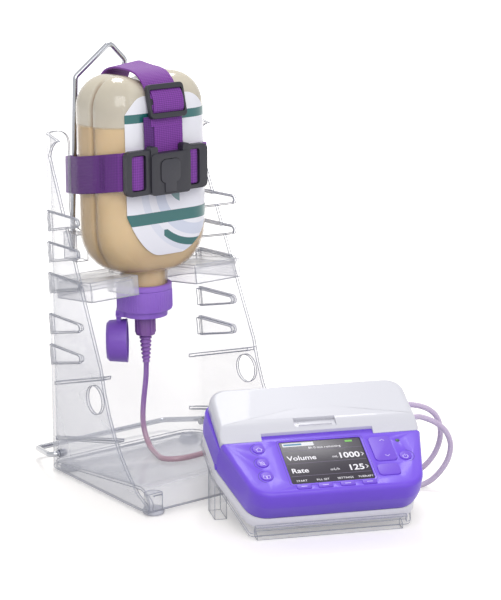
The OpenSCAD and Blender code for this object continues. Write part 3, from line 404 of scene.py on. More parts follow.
@dataclass(frozen=True)
class Film:
    """The bottle's printed label: two bands, a wave of stripes and pale rings, no words."""

    name: str = "printed_label"

    def make(self) -> bpy.types.Material:
        """Builds the material."""
        g = Graph(self.name)
        x, _, z = g.place_axes(BOTTLE)
        white, teal, deep, pale = (
            srgb(243, 243, 248), srgb(46, 125, 122), srgb(35, 105, 104), srgb(196, 206, 226))

        def strip(low: float, high: float) -> Value:
            """1 between two heights."""
            return (z > low) * (z < high)

        def hoop(cx: float, cz: float, r: float, half: float) -> Value:
            """1 on a ring of a radius and a half width."""
            dx, dz = x - cx, z - cz
            return abs((dx * dx + dz * dz) ** 0.5 - r) < half

        band = strip(109.2, 115.4) + strip(36.6, 44.9)
        rings = hoop(28.0, 62.0, 33.0, 4.0) * 0.6 + hoop(28.0, 62.0, 46.0, 3.0) * 0.35
        upper = hoop(20.0, 68.0, 15.0, 4.2) * (x < 12.0) * (z > 50.0)
        lower = hoop(26.0, 62.0, 42.0, 2.6) * (z < 31.5) * (x > -2.0)
        ghost = g.mix((rings * (z < 62.0)).clamp(), white, pale)
        stripes = g.mix((upper * 0.8).clamp(), ghost, teal)
        return g.surface(
            Base_Color=g.mix((lower + band).clamp(), stripes, deep), Roughness=0.32,
            Coat_Weight=0.2, Normal=g.bump(g.noise(9.0), 0.08, 0.4))


@dataclass(frozen=True)
class Feed:
    """The beige feed in the bottle, deeper in colour towards the sides, with painted shade in the
    left side's groove.
    """

    name: str = "feed_liquid"

    def make(self) -> bpy.types.Material:
        """Builds the material."""
        g = Graph(self.name)
        turn = g.facing(0.4)
        tone = g.mix((turn ** 1.5).clamp(), srgb(244, 218, 172), srgb(204, 164, 112))
        # painted shade: darkens the feed along the left side's groove
        tone = g.mix(groove_shade(g) * 0.85, tone, srgb(142, 100, 60))
        return g.surface(
            Base_Color=g.mix(g.noise(30.0) * 0.25, tone, srgb(222, 190, 138)),
            Roughness=0.28, Subsurface_Weight=0.15,
            Subsurface_Radius=(0.006, 0.004, 0.002),
        )


@dataclass(frozen=True)
class BottleWall:
    """The bottle's thin blown wall, milky where the bottle is empty, with painted shade in the left
    side's groove.
    """

    name: str = "bottle_wall"
    level: float = 106.0

    def make(self) -> bpy.types.Material:
        """Builds the material."""
        g = Graph(self.name)
        turn = g.facing(0.45)
        _, _, z = g.place_axes(BOTTLE)
        empty = z.step(self.level - 1.0, self.level + 1.5)
        cloud = g.noise(14.0)
        alpha = turn ** 2 * 0.5 + empty * 0.42 + 0.16 + (cloud - 0.5) * 0.1
        full = g.mix((turn ** 2).clamp(), srgb(232, 212, 172), srgb(186, 150, 105))
        hollow = g.mix((turn ** 2).clamp(), srgb(232, 224, 204), srgb(196, 182, 150))
        return g.surface(
            # painted shade: darkens the wall along the left side's groove
            Base_Color=g.mix(groove_shade(g) * 0.7, g.mix(empty, full, hollow), srgb(150, 112, 72)),
            Roughness=0.16,
            Alpha=alpha.clamp(),
            Coat_Weight=0.5,
            Normal=g.bump(cloud, 0.12, 0.8),
        )


@dataclass(frozen=True)
class Tubing:
    """Soft clear tubing, tinted along its run in millimetres."""

    name: str
    start: Triple
    middle: Triple
    end: Triple
    first: Point
    second: Point
    alpha: float = 0.85

    def make(self) -> bpy.types.Material:
        """Builds the material."""
        g = Graph(self.name)
        _, run = g.uv()
        turn = g.facing(0.5)
        near = g.mix(run.step(*self.first), srgb(*self.start), srgb(*self.middle))
        tint = g.mix(run.step(*self.second), near, srgb(*self.end))
        edge = g.mix(0.3, tint, srgb(110, 80, 130))
        return g.surface(
            Base_Color=g.mix((turn ** 2).clamp(), tint, edge),
            Roughness=(g.noise(4.0) - 0.5) * 0.08 + 0.24,
            Alpha=(turn * 0.25 + self.alpha).clamp(),
            Coat_Weight=0.4,
        )


@dataclass(frozen=True)
class Lit:
    """A part of the display that shines by itself."""

    name: str
    colour: Triple
    strength: float = 0.9

    def make(self) -> bpy.types.Material:
        """Builds the material."""
        g = Graph(self.name)
        shade = srgb(*self.colour)
        return g.surface(
            Base_Color=srgb(20, 18, 24), Roughness=0.35, Emission_Strength=self.strength,
            Emission_Color=g.mix(g.noise(1.2), scaled(shade, 0.92), shade))


VIOLET = Moulded("violet_shell", (116, 76, 222), 0.42, 0.04, 0.7, 0.05, coat=0.08)
VIOLET_KEY = Moulded("violet_key", (114, 74, 212), 0.42, 0.05)
WHITE = Moulded("white_shell", (212, 212, 219), 0.36, 0.03, 0.7, 0.012, coat=0.2)
# a lighter copy of the white shell plastic: painted light standing in for the floor's bounce under
# the pump
REAR_WHITE_LIFTED = Moulded("white_rear_shell", (250, 249, 252), 0.4, 0.03, 0.7, 0.012, coat=0.1)
BUCKLE = Moulded("buckle_plastic", (42, 42, 50), 0.46, 0.10, 0.5, 0.08)
BUTTON = Moulded("button_plastic", (50, 50, 58), 0.42, 0.08, 0.5, 0.08)
CAP = Moulded("cap_plastic", (152, 108, 210), 0.42, 0.05, 0.8, 0.05)
LID = Moulded("lid_plastic", (132, 88, 196), 0.42, 0.05, 0.8, 0.05)
CONNECTOR = Moulded("connector_plastic", (142, 98, 168), 0.4, 0.06, 0.8, 0.06)
SLEEVE = Moulded("sleeve_rubber", (150, 106, 182), 0.5, 0.08, 0.6, 0.06)
CHROME = Moulded("chromed_wire", (176, 178, 184), 0.16, 0.02, 3.0, 0.05, metallic=1.0)
STEEL = Moulded("plain_steel", (170, 172, 178), 0.32, 0.05, 0.8, 0.05, metallic=1.0)
DARK_SEAM = Moulded("dark_seam", (58, 44, 108), 0.6, 0.05)
SHELL_FACE = Clear("clear_sheet", (236, 238, 244), 0.20, 0.60, 0.07, 0.03)
SHELL_EDGE = Clear("clear_rim", (186, 188, 198), 0.46, 0.40, 0.12)
SHELL_LINE = Moulded("clear_line", (154, 157, 168), 0.3, 0.02, 2.0, 0.14)
TRAY_LINE = Moulded("clear_tray_line", (166, 169, 180), 0.3, 0.02, 2.0, 0.14)
SHELF_FACE = Clear("clear_shelf_sheet", (254, 254, 255), 0.26, 0.5, 0.10, 0.05)
SHELF_EDGE = Clear("clear_shelf_rim", (232, 233, 239), 0.46, 0.34, 0.12)
TRAY_FACE = Clear("clear_tray_sheet", (244, 245, 250), 0.07, 0.55, 0.08, 0.03)
TRAY_EDGE = Clear("clear_tray_rim", (238, 240, 246), 0.36, 0.34, 0.12)
FOOT = Moulded("foot_rubber", (216, 217, 223), 0.55, 0.10, 0.5, 0.03)
STRAP = Webbing("purple_webbing", (146, 68, 178), (80, 26, 112))
# a darker copy of the webbing, painted shade, for the strap's tail and the stitches
STRAP_SHADED = Webbing("purple_webbing_shaded", (104, 42, 136), (56, 18, 84), (90, 34, 118))
# the inner parts that keep their CAD shapes, with their finishes
KEPT: dict[str, Any] = {
    "shell_gasket": DARK_SEAM,
    "circuit_board": Moulded("board", (30, 92, 56), 0.5, 0.15, 1.0),
    "battery": Moulded("battery_wrap", (82, 112, 160), 0.4, 0.05),
    "drive_motor": STEEL,
    "pump_rotor": Moulded("rotor_plastic", (222, 222, 228), 0.45, 0.05),
    "rotor_rollers": Moulded("roller_plastic", (232, 232, 236), 0.35, 0.05),
    "tube_cassette": Moulded("cassette_plastic", (198, 176, 226), 0.4, 0.05),
    "pump_segment": Moulded("segment_silicone", (236, 232, 226), 0.45, 0.08),
    "door_hinge_pins": STEEL,
    "shell_screws": STEEL,
    "charge_contacts": Moulded("plated_contact", (214, 178, 96), 0.3, 0.05, metallic=1.0),
    "coil_tie": Moulded("paper_band", (234, 233, 230), 0.7, 0.2, 1.2),
}
_made: dict[str, bpy.types.Material] = {}


def groove_shade(g: Graph) -> Value:
    """How far a point of the bottle or its feed lies in the left side's groove, the mask of the
    painted shade there.
    """
    x, y, _ = g.place_axes(BOTTLE)
    return (1.0 - abs(y + 4.6) / 2.6).clamp() * (x * -1.0).step(30.0, 38.0)


def material(finish: Any) -> bpy.types.Material:
    """The material of a finish, made once."""
    if finish.name not in _made:
        _made[finish.name] = finish.make()
    return _made[finish.name]


# ---------------------------------------------------------------- flat outlines


def arc(cx: float, cy: float, r: float, start: float, stop: float, steps: int) -> list[Point]:
    """Points on an arc, angles in degrees."""
    found = []
    for k in range(steps + 1):
        t = math.radians(start + (stop - start) * k / steps)
        found.append((cx + r * math.cos(t), cy + r * math.sin(t)))
    return found


def outline(circles: Sequence[Triple], grow: float = 0.0,
            steps: int = 10) -> list[Point]:
    """The line drawn tight round a counter-clockwise ring of circles.

    Args:
        circles: each circle's centre and radius.
        grow: how far the line moves outwards.
        steps: pieces of each arc, so that every outline of a ring has one count.

    Returns:
        The line's points.
    """

    def tangent(a: Sequence[float], b: Sequence[float]) -> float:
        """Outward angle of the tangent that two circles share."""
        far = math.dist(a[:2], b[:2])
        return math.degrees(math.atan2(b[1] - a[1], b[0] - a[0]) - math.acos((a[2] - b[2]) / far))

    found: list[Point] = []
    for i, circle in enumerate(circles):
        start = tangent(circles[i - 1], circle)
        stop = tangent(circle, circles[(i + 1) % len(circles)])
        while stop < start - 0.001:
            stop += 360
        while stop >= start + 359.9:
            stop -= 360
        found += arc(circle[0], circle[1], circle[2] + grow, start, stop, steps)
    return found


def rounded(x0: float, x1: float, y0: float, y1: float, r: float, steps: int = 5) -> list[Point]:
    """A rounded rectangle, counter-clockwise."""
    return (arc(x1 - r, y1 - r, r, 0, 90, steps) + arc(x0 + r, y1 - r, r, 90, 180, steps)
            + arc(x0 + r, y0 + r, r, 180, 270, steps) + arc(x1 - r, y0 + r, r, 270, 360, steps))


def about(x: float, y: float, w: float, h: float, r: float) -> list[Point]:
    """A rounded rectangle about a point."""
    return rounded(x - w / 2, x + w / 2, y - h / 2, y + h / 2, r)


def smooth_path(points: Sequence[Vector], step: float) -> list[Vector]:
    """A smooth line through points, resampled to about one step.

    Args:
        points: what the line passes through.
        step: the distance between the points that come back, in the same unit.

    Returns:
        The resampled line, ends kept.
    """
    ends = [points[0] * 2 - points[1], *points, points[-1] * 2 - points[-2]]
    fine: list[Vector] = []
    for i in range(1, len(ends) - 2):
        a, b, c, d = ends[i - 1: i + 3]
        count = max(2, int((c - b).length / step * 4))
        for k in range(count):
            t = k / count
            fine.append(0.5 * (2 * b + (c - a) * t + (2 * a - 5 * b + 4 * c - d) * t ** 2
                               + (3 * b - a - 3 * c + d) * t ** 3))
    fine.append(points[-1].copy())
    total = sum((q - p).length for p, q in zip(fine, fine[1:]))
    wanted = max(2, round(total / step))
    found, run, k = [fine[0]], 0.0, 1
    for p, q in zip(fine, fine[1:]):
        length = (q - p).length
        while k < wanted and run + length >= total * k / wanted:
            found.append(p.lerp(q, (total * k / wanted - run) / max(length, 1e-9)))
            k += 1
        run += length
    return found + [fine[-1]]


# ---------------------------------------------------------------- meshes


class Form:
    """A mesh in the making, with vertices in metres of the row frame."""

    def __init__(self) -> None:
        """Starts empty."""
        self.points: list[Vector] = []
        self.faces: list[tuple[int, ...]] = []
        self.maps: list[list[Point] | None] = []

    def face(self, corners: Iterable[int], uv: list[Point] | None = None) -> None:
        """Adds a face with a map."""
        self.faces.append(tuple(corners))
        self.maps.append(uv)

    def skin(self, rings: Sequence[Sequence[Vector]], caps: bool = True, loop: bool = False,
             uv: Callable[[int, int], Point] | None = None) -> Form:
        """Adds a skin through closed rings of one count.

        Args:
            rings: the rings.
            caps: whether the first and the last ring are filled.
            loop: whether the last ring joins the first.
            uv: gives the map at a ring and a place on it.

        Returns:
            This form.
        """
        base, n, count = len(self.points), len(rings[0]), len(rings)
        for ring in rings:
            self.points.extend(ring)
        for i in range(count if loop else count - 1):
            a, b = base + i * n, base + (i + 1) % count * n
            for k in range(n):
                m = (k + 1) % n
                self.face((a + k, a + m, b + m, b + k),
                          [uv(i, k), uv(i, k + 1), uv(i + 1, k + 1), uv(i + 1, k)] if uv else None)
        if caps and not loop:
            for i, order in ((0, range(n - 1, -1, -1)), (count - 1, range(n))):
                self.face((base + i * n + k for k in order),
                          [uv(i, k) for k in order] if uv else None)
        return self

    def prism(self, place: Place, plan: Sequence[Point], low: float, high: float) -> Form:
        """Adds a plan drawn in x and y and raised along z."""
        return self.skin([raised(plan, z, place) for z in (low, high)])

    def box(self, place: Place, x: Point, y: Point, z: Point) -> Form:
        """Adds a block, for use as a cutter."""
        plan = [(x[0], y[0]), (x[1], y[0]), (x[1], y[1]), (x[0], y[1])]
        return self.prism(place, plan, *z)

    def lathe(self, place: Place, profile: Sequence[Point], sides: int = 48,
              centre: Point = (0.0, 0.0)) -> Form:
        """Adds a solid of revolution about z from (radius, z) pairs that go upwards."""
        turns = [2 * math.pi * k / sides for k in range(sides)]
        return self.skin([[place.at(centre[0] + r * math.cos(t), centre[1] + r * math.sin(t), z)
                           for t in turns] for r, z in profile])

    def sweep(self, path: Sequence[Vector], radius: float, sides: int = 14) -> Form:
        """Adds a round bar along a path, both in metres, with a map in millimetres."""
        rings, runs, run = [], [0.0], 0.0
        for p, q in zip(path, path[1:]):
            run += (q - p).length
            runs.append(run / MM)
        side = (path[1] - path[0]).normalized().orthogonal().normalized()
        turns = [2 * math.pi * k / sides for k in range(sides)]
        for i, p in enumerate(path):
            ahead = (path[min(i + 1, len(path) - 1)] - path[max(i - 1, 0)]).normalized()
            side = (side - ahead * side.dot(ahead)).normalized()
            other = ahead.cross(side)
            rings.append([p + (side * math.cos(t) + other * math.sin(t)) * radius for t in turns])
        return self.skin(rings, uv=lambda i, k: (k / sides * MAP_ROUND, runs[i]))

    def stroke(self, place: Place, line: Sequence[Point], width: float, low: float, high: float,
               closed: bool = False) -> Form:
        """Adds a flat raised line drawn in x and y of a place."""
        n, rings = len(line), []
        for i, p in enumerate(line):
            a = Vector(line[i - 1] if closed or i else p)
            b = Vector(line[(i + 1) % n] if closed or i < n - 1 else p)
            ahead = (b - a).normalized()
            side = Vector((-ahead.y, ahead.x)) * width / 2
            one, two = Vector(p) + side, Vector(p) - side
            rings.append([place.at(*one, low), place.at(*two, low),
                          place.at(*two, high), place.at(*one, high)])
        return self.skin(rings, caps=not closed, loop=closed)

    def build(self, name: str, finishes: Sequence[Any], angle: float = 35.0) -> bpy.types.Object:
        """Makes the object.

        Args:
            name: the piece's name.
            finishes: its finish, or none for a cutter.
            angle: edges flatter than this are shaded smooth, in degrees.

        Returns:
            The object, linked to the scene.
        """
        mesh = bpy.data.meshes.new(name)
        mesh.from_pydata([tuple(p) for p in self.points], [], self.faces)
        if any(self.maps):
            layer = mesh.uv_layers.new(name="weave")
            for polygon, uv in zip(mesh.polygons, self.maps):
                for loop, value in zip(polygon.loop_indices, uv or ()):
                    layer.data[loop].uv = value
        tidy(mesh)
        return dress(linked(name, mesh), finishes, angle)


def raised(plan: Sequence[Point], z: float, place: Place) -> list[Vector]:
    """A plan's points at one height of a place."""
    return [place.at(x, y, z) for x, y in plan]


def linked(name: str, data: Any) -> bpy.types.Object:
    """A new object in the scene."""
    made = bpy.data.objects.new(name, data)
    bpy.context.scene.collection.objects.link(made)
    return made


def tidy(mesh: bpy.types.Mesh) -> None:
    """Merges doubles, drops flat slivers and turns the faces outwards."""
    work = bmesh.new()
    work.from_mesh(mesh)
    bmesh.ops.remove_doubles(work, verts=work.verts, dist=2e-6)
    bmesh.ops.dissolve_degenerate(work, edges=work.edges, dist=1e-7)
    bmesh.ops.recalc_face_normals(work, faces=work.faces)
    work.to_mesh(mesh)
    work.free()


def dress(made: bpy.types.Object, finishes: Sequence[Any], angle: float) -> bpy.types.Object:
    """Gives an object its materials and its smooth shading."""
    made.data.materials.clear()
    for finish in finishes:
        made.data.materials.append(material(finish))
    for polygon in made.data.polygons:
        polygon.use_smooth = True
    made.data.set_sharp_from_angle(angle=math.radians(angle))
    return made


def baked(made: bpy.types.Object) -> bpy.types.Object:
    """Turns an object with modifiers into one with a plain mesh."""
    graph = bpy.context.evaluated_depsgraph_get()
    graph.update()
    mesh = bpy.data.meshes.new_from_object(
        made.evaluated_get(graph), preserve_all_data_layers=True, depsgraph=graph)
    made.modifiers.clear()
    old = made.data
    made.data = mesh
    bpy.data.meshes.remove(old)
    mesh.name = made.name
    return made


def cut(made: bpy.types.Object, *cutters: Form, join: bool = False) -> bpy.types.Object:
    """Cuts forms out of an object, or joins them to it."""
    helpers = []
    for form in cutters:
        helper = form.build("cutter", [])
        modifier = made.modifiers.new("cut", "BOOLEAN")
        modifier.operation = "UNION" if join else "DIFFERENCE"
        modifier.solver = "EXACT"
        modifier.object = helper
        helpers.append(helper)
    baked(made)
    for helper in helpers:
        bpy.data.objects.remove(helper)
    return made


def softened(made: bpy.types.Object, width: float, finishes: Sequence[Any], segments: int = 2,
             angle: float = 30.0, edge_mark: int = -1) -> bpy.types.Object:
    """Rounds an object's edges by a width in millimetres and dresses it."""
    modifier = made.modifiers.new("soft", "BEVEL")
    modifier.width = width * MM
    modifier.segments = segments
    modifier.limit_method = "ANGLE"
    modifier.angle_limit = math.radians(angle)
    modifier.material = edge_mark
    modifier.use_clamp_overlap = True
    baked(made)
    return dress(made, finishes, 50.0)


@dataclass
class Rig:
    """The loaded frame and the pieces made so far."""

    frame: dict[str, Any]
    pieces: dict[str, bpy.types.Object] = field(default_factory=dict)

    def copy(self, node: str, name: str = "", sheet: float = 0.0) -> bpy.types.Object:
        """Copies a CAD node's mesh, merged and simplified.

        Args:
            node: the node.
            name: the copy's name, if it isn't the node's with _look.
            sheet: the wall's thickness in millimetres, where the rims take a second material.

        Returns:
            The copy.
        """
        source = self.frame["nodes"][node]
        made = linked(name or node + "_look", source.data.copy())
        work = bmesh.new()
        work.from_mesh(made.data)
        bmesh.ops.remove_doubles(work, verts=work.verts, dist=4e-6)
        work.normal_update()
        for face in work.faces:
            face.material_index = 0
        if sheet:
            tree = BVHTree.FromBMesh(work)
            for face in work.faces:
                hit = tree.ray_cast(face.calc_center_median() - face.normal * 2e-5, -face.normal)
                face.material_index = int(hit[0] is not None and hit[3] > sheet * MM)
        bmesh.ops.dissolve_limit(
            work, angle_limit=math.radians(0.6), verts=work.verts, edges=work.edges,
            delimit={"MATERIAL"})
        work.to_mesh(made.data)
        work.free()
        return made

    def body(self, node: str) -> str:
        """The body that a CAD node rides on."""
        return self.frame["nodes"][node]["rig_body"]

    def place(self, made: bpy.types.Object, body: str, slot: str = "",
              stands_for: Sequence[str] = ()) -> bpy.types.Object:
        """Gives a finished piece its body, keeps it, and hides the nodes that it stands for."""
        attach(made, body)
        if stands_for:
            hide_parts(*stands_for)
        self.pieces[made.name] = made
        LOG.info("%s rides on %s, %d faces", made.name, body, len(made.data.polygons))
        return made

    def carried(self, node: str, finishes: Sequence[Any], slot: str, width: float = 0.3,
                sheet: float = 0.0, angle: float = 30.0, segments: int = 2) -> bpy.types.Object:
        """Makes a CAD node's own shape again with rounded edges, and hides the node."""
        made = softened(self.copy(node, sheet=sheet), width, finishes, segments, angle,
                        1 if sheet else -1)
        return self.place(made, self.body(node), slot, [node])

    def outlined(self, node: str, radius: float, finish: Any, angle: float = 42.0) -> None:
        """Draws a clear node's sharp edges as fine lines inside it."""
        made = rims(self.copy(node, node + "_lines"), radius, angle, finish)
        self.place(made, self.body(node))


class Recipe:
    """A Geometry Nodes tree with named inputs that is run once on an object and baked."""

    def __init__(self, name: str) -> None:
        """Opens a tree that takes and gives geometry."""
        self.tree = bpy.data.node_groups.new(name + "_nodes", "GeometryNodeTree")
        for way in ("INPUT", "OUTPUT"):
            self.tree.interface.new_socket(
                "Geometry", in_out=way, socket_type="NodeSocketGeometry")
        self.start, self.end = self.add("NodeGroupInput"), self.add("NodeGroupOutput")
        self.values: dict[str, int | float] = {}

    def ask(self, name: str, value: int | float) -> Any:
        """Adds a named input with its value, and gives its socket."""
        kind = "NodeSocketInt" if isinstance(value, int) else "NodeSocketFloat"
        made = self.tree.interface.new_socket(name, in_out="INPUT", socket_type=kind)
        self.values[made.identifier] = value
        return self.start.outputs[name]

    def add(self, kind: str, settings: dict[str, Any] | None = None,
            inputs: dict[Any, Any] | None = None) -> Any:
        """Adds one node, its inputs set or linked."""
        return add_node(self.tree, kind, settings, inputs)

    def run(self, made: bpy.types.Object, geometry: Any, finish: Any) -> bpy.types.Object:
        """Gives the tree's geometry its material, runs the tree on an object and bakes it."""
        dressed = self.add("GeometryNodeSetMaterial", None,
                           {"Geometry": geometry, "Material": material(finish)})
        self.tree.links.new(dressed.outputs[0], self.end.inputs[0])
        modifier = made.modifiers.new("nodes", "NODES")
        modifier.node_group = self.tree
        for key, value in self.values.items():
            modifier[key] = value
        return baked(made)


def repeated(name: str, unit: bpy.types.Object, count: int, spin: float, finish: Any,
             radius: float, place: Matrix, rise: float = 0.0) -> bpy.types.Object:
    """Sets copies of a small part round a circle with Geometry Nodes.

    Args:
        name: the piece's name.
        unit: the part, made about its own origin with x outwards. It is removed.
        count: how many.
        spin: the angle that they fill, in degrees.
        finish: their finish.
        radius: the circle's radius in millimetres.
        place: where the circle's middle and axis are.
        rise: how far along the axis the last one is from the first, in millimetres.

    Returns:
        One object with a plain mesh.
    """
    tree = Recipe(name)
    line = tree.add("GeometryNodeMeshLine", None,
                    {"Count": tree.ask("Count", count), "Offset": (0, 0, 0)})
    index = tree.add("GeometryNodeInputIndex")
    share = tree.add("ShaderNodeMath", {"operation": "DIVIDE"},
                     {0: index.outputs[0], 1: tree.start.outputs["Count"]})

    def part(total: Any) -> Any:
        """This copy's share of a total."""
        return tree.add("ShaderNodeMath", {"operation": "MULTIPLY"},
                        {0: share.outputs[0], 1: total}).outputs[0]

    angle = part(tree.ask("Sweep", math.radians(spin)))
    out = tree.add("ShaderNodeCombineXYZ", None,
                   {0: tree.ask("Radius", radius * MM), 2: part(tree.ask("Rise", rise * MM))})
    spot = tree.add("ShaderNodeVectorRotate", {"rotation_type": "Z_AXIS"},
                    {"Vector": out.outputs[0], "Angle": angle})
    moved = tree.add("GeometryNodeSetPosition", None,
                     {"Geometry": line.outputs[0], "Position": spot.outputs[0]})
    shape = tree.add("GeometryNodeObjectInfo", None, {"Object": unit})
    copies = tree.add("GeometryNodeInstanceOnPoints", None, {
        "Points": moved.outputs[0], "Instance": shape.outputs["Geometry"],
        "Rotation": tree.add("ShaderNodeCombineXYZ", None, {2: angle}).outputs[0]})
    real = tree.add("GeometryNodeRealizeInstances", None, {"Geometry": copies.outputs[0]})
    made = linked(name, bpy.data.meshes.new(name))
    tree.run(made, real.outputs[0], finish)
    bpy.data.objects.remove(unit)
    made.data.transform(place)
    return dress(made, [finish], 35.0)


def rims(made: bpy.types.Object, radius: float, angle: float, finish: Any) -> bpy.types.Object:
    """Turns a clear part's copy into fine lines that lie just inside its sharp edges.

    Args:
        made: the copy.
        radius: the lines' radius in millimetres.
        angle: how sharp an edge has to be, in degrees.
        finish: their finish.

    Returns:
        The object, now holding the lines only.
    """
    tree = Recipe(made.name)
    size, sharp = tree.ask("Radius", radius * MM), tree.ask("Angle", math.radians(angle))
    normal = tree.add("GeometryNodeInputNormal")
    inward = tree.add("ShaderNodeVectorMath", {"operation": "SCALE"},
                      {0: normal.outputs[0], "Scale": -1.2 * radius * MM})
    sunk = tree.add("GeometryNodeSetPosition", None,
                    {"Geometry": tree.start.outputs[0], "Offset": inward.outputs[0]})
    bend = tree.add("GeometryNodeInputMeshEdgeAngle")
    pick = tree.add("FunctionNodeCompare", {"operation": "GREATER_THAN"},
                    {0: bend.outputs[0], 1: sharp})
    line = tree.add("GeometryNodeMeshToCurve", None,
                    {"Mesh": sunk.outputs[0], "Selection": pick.outputs[0]})
    ring = tree.add("GeometryNodeCurvePrimitiveCircle", {"mode": "RADIUS"},
                    {"Resolution": 6, "Radius": size})
    tube = tree.add("GeometryNodeCurveToMesh", None, {
        "Curve": line.outputs[0], "Profile Curve": ring.outputs[0], "Fill Caps": True})
    tree.run(made, tube.outputs[0], finish)
    tidy(made.data)
    return dress(made, [finish], 60.0)


def lettering(text: str, place: Place, x: float, y: float, z: float, size: float, finish: Any,
              name: str, align: str = "LEFT", bold: float = 0.0) -> bpy.types.Object:
    """Writes a short generic text as a mesh that lies in x and y of a place.

    Args:
        text: numbers, units and plain words.
        place: the axes.
        x: where the line starts, ends or has its middle.
        y: its foot.
        z: its height above the place's origin.
        size: the letters' size in millimetres.
        finish: the finish.
        name: the piece's name.
        align: LEFT, CENTER or RIGHT.
        bold: how much the letters' edges grow, in millimetres.

    Returns:
        The piece.
    """
    curve = bpy.data.curves.new(name, "FONT")
    curve.body, curve.size, curve.align_x = text, size * MM, align
    curve.extrude, curve.offset = LETTER_DEPTH / 2 * MM, bold * MM
    curve.resolution_u = 3
    writer = linked(name, curve)
    graph = bpy.context.evaluated_depsgraph_get()
    mesh = bpy.data.meshes.new_from_object(writer.evaluated_get(graph), depsgraph=graph)
    bpy.data.objects.remove(writer)
    mesh.transform(place.matrix(x, y, z))
    return dress(linked(name, mesh), [finish], 35.0)


# ---------------------------------------------------------------- the photograph's view


@dataclass
class Photo:
    """The camera and the named image points, in pixels of the 501 by 600 frame."""

    location: Triple = (-0.8988, -1.1605, 0.5015)
    azimuth: float = -38.07
    pitch: float = 13.92
    lens: float = 130.479
    sensor: float = 36.0
    edges: dict[str, float] = field(default_factory=lambda: {
        "left": 36.0, "right": 424.0, "top": 41.0, "bottom": 538.0})
    points: dict[str, Point] = field(default_factory=lambda: {
        "belt_seam": (104.0, 171.0),
        "webbing_roll": (167.5, 99.5),
        "release_button_look": (170.0, 175.0),
        "flip_lid_look": (120.0, 338.0),
        "strain_relief_look": (144.0, 352.0),
        "screen": (326.0, 460.0),
        "mark_house": (259.0, 449.7),
        "mark_bell": (262.6, 463.7),
        "mark_book": (267.0, 477.0),
        "mark_power": (405.5, 456.0),
        "door_latch_look": (318.5, 426.0),
        "side_stud": (215.7, 467.0),
        "status_light_look": (397.3, 440.3),
    })

    def axes(self) -> tuple[Vector, Vector, Vector]:
        """The camera's right, up and back."""
        a, e = math.radians(self.azimuth), math.radians(self.pitch)
        back = Vector((math.sin(a) * math.cos(e), -math.cos(a) * math.cos(e), math.sin(e)))
        right = Vector((math.cos(a), math.sin(a), 0))
        return right, back.cross(right), back

    def camera(self) -> None:
        """Makes the camera."""
        right, up, back = self.axes()
        data = bpy.data.cameras.new("camera")
        data.lens, data.sensor_width, data.sensor_fit = self.lens, self.sensor, "AUTO"
        data.clip_start, data.clip_end = 0.05, 20.0
        made = linked("camera", data)
        turn = Matrix((right, up, back)).transposed().to_4x4()
        made.matrix_world = Matrix.Translation(Vector(self.location)) @ turn
        bpy.context.scene.camera = made

    def direction(self, x: float, y: float) -> Vector:
        """The ray through an image point."""
        right, up, back = self.axes()
        size = max(WIDTH, HEIGHT)
        return (right * (x - WIDTH / 2) + up * (HEIGHT / 2 - y)
                - back * (size * self.lens / self.sensor)).normalized()

    def pixel(self, point: Vector) -> Point:
        """Where a point of the row frame shows."""
        right, up, back = self.axes()
        size = max(WIDTH, HEIGHT)
        d = point - Vector(self.location)
        deep = -d.dot(back)
        far = size * self.lens / self.sensor
        return WIDTH / 2 + d.dot(right) / deep * far, HEIGHT / 2 - d.dot(up) / deep * far

    def on(self, point: Point, *carriers: bpy.types.Object) -> tuple[Vector, Vector]:
        """Finds where an image point falls on finished pieces.

        Args:
            point: the image point.
            carriers: the pieces that carry what is placed there.

        Returns:
            The place and the surface's normal. A miss takes the place nearest the ray.
        """
        start, ahead = Vector(self.location), self.direction(*point)
        best = None
        for carrier in carriers:
            tree = BVHTree.FromPolygons(
                [v.co for v in carrier.data.vertices],
                [tuple(p.vertices) for p in carrier.data.polygons])
            hit = tree.ray_cast(start, ahead)
            if hit[0] is not None and (best is None or hit[3] < best[2]):
                best = (hit[0], hit[1], hit[3])
        if best is None:
            for carrier in carriers:
                for polygon in carrier.data.polygons:
                    d = polygon.center - start
                    miss = (d - ahead * d.dot(ahead)).length + 10.0
                    if best is None or miss < best[2]:
                        best = (polygon.center.copy(), polygon.normal.copy(), miss)
        return best[:2]

    def report(self, cords: Sequence[str]) -> None:
        """Works out how far each named thing shows from its point, and the frame's edges, but
        writes neither out.

        Args:
            cords: the names of free cords, which the edges leave out.
        """
        shown = [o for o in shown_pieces() if o.type == "MESH"]
        soft = [finish.name for finish in CLEAR_FINISHES]
        points: list[Vector] = []
        faces: list[tuple[int, ...]] = []
        for o in shown:
            clear = {i for i, m in enumerate(o.data.materials) if m and m.name in soft}
            base = len(points)
            points.extend(o.matrix_world @ v.co for v in o.data.vertices)
            faces.extend(tuple(base + k for k in p.vertices) for p in o.data.polygons
                         if p.material_index not in clear)
        tree = BVHTree.FromPolygons(points, faces)
        start = Vector(self.location)

        def seen(o: bpy.types.Object) -> list[Point]:
            """The pixels of the vertices of a piece that show."""
            found = []
            for v in o.data.vertices:
                p = o.matrix_world @ v.co
                d = p - start
                hit = tree.ray_cast(start, d.normalized())
                if hit[0] is None or hit[3] > d.length - 0.0012:
                    found.append(self.pixel(p))
            return found

        xs, ys = zip(*(self.pixel(o.matrix_world @ v.co)
                       for o in shown if o.name not in cords for v in o.data.vertices))
        for key, value in (("left", min(xs)), ("right", max(xs)), ("top", min(ys)),
                           ("bottom", max(ys))):
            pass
        for key, (x, y) in self.points.items():
            o = bpy.data.objects.get(key)
            found = seen(o) if o else []
            off: Any = "nothing shows"
            if found:
                off = [round((min(values) + max(values)) / 2 - at, 2)
                       for values, at in zip(zip(*found), (x, y))]


CLEAR_FINISHES = (SHELL_FACE, SHELL_EDGE, SHELF_FACE, SHELF_EDGE, TRAY_FACE, TRAY_EDGE,
                  BottleWall())


# ---------------------------------------------------------------- the stand


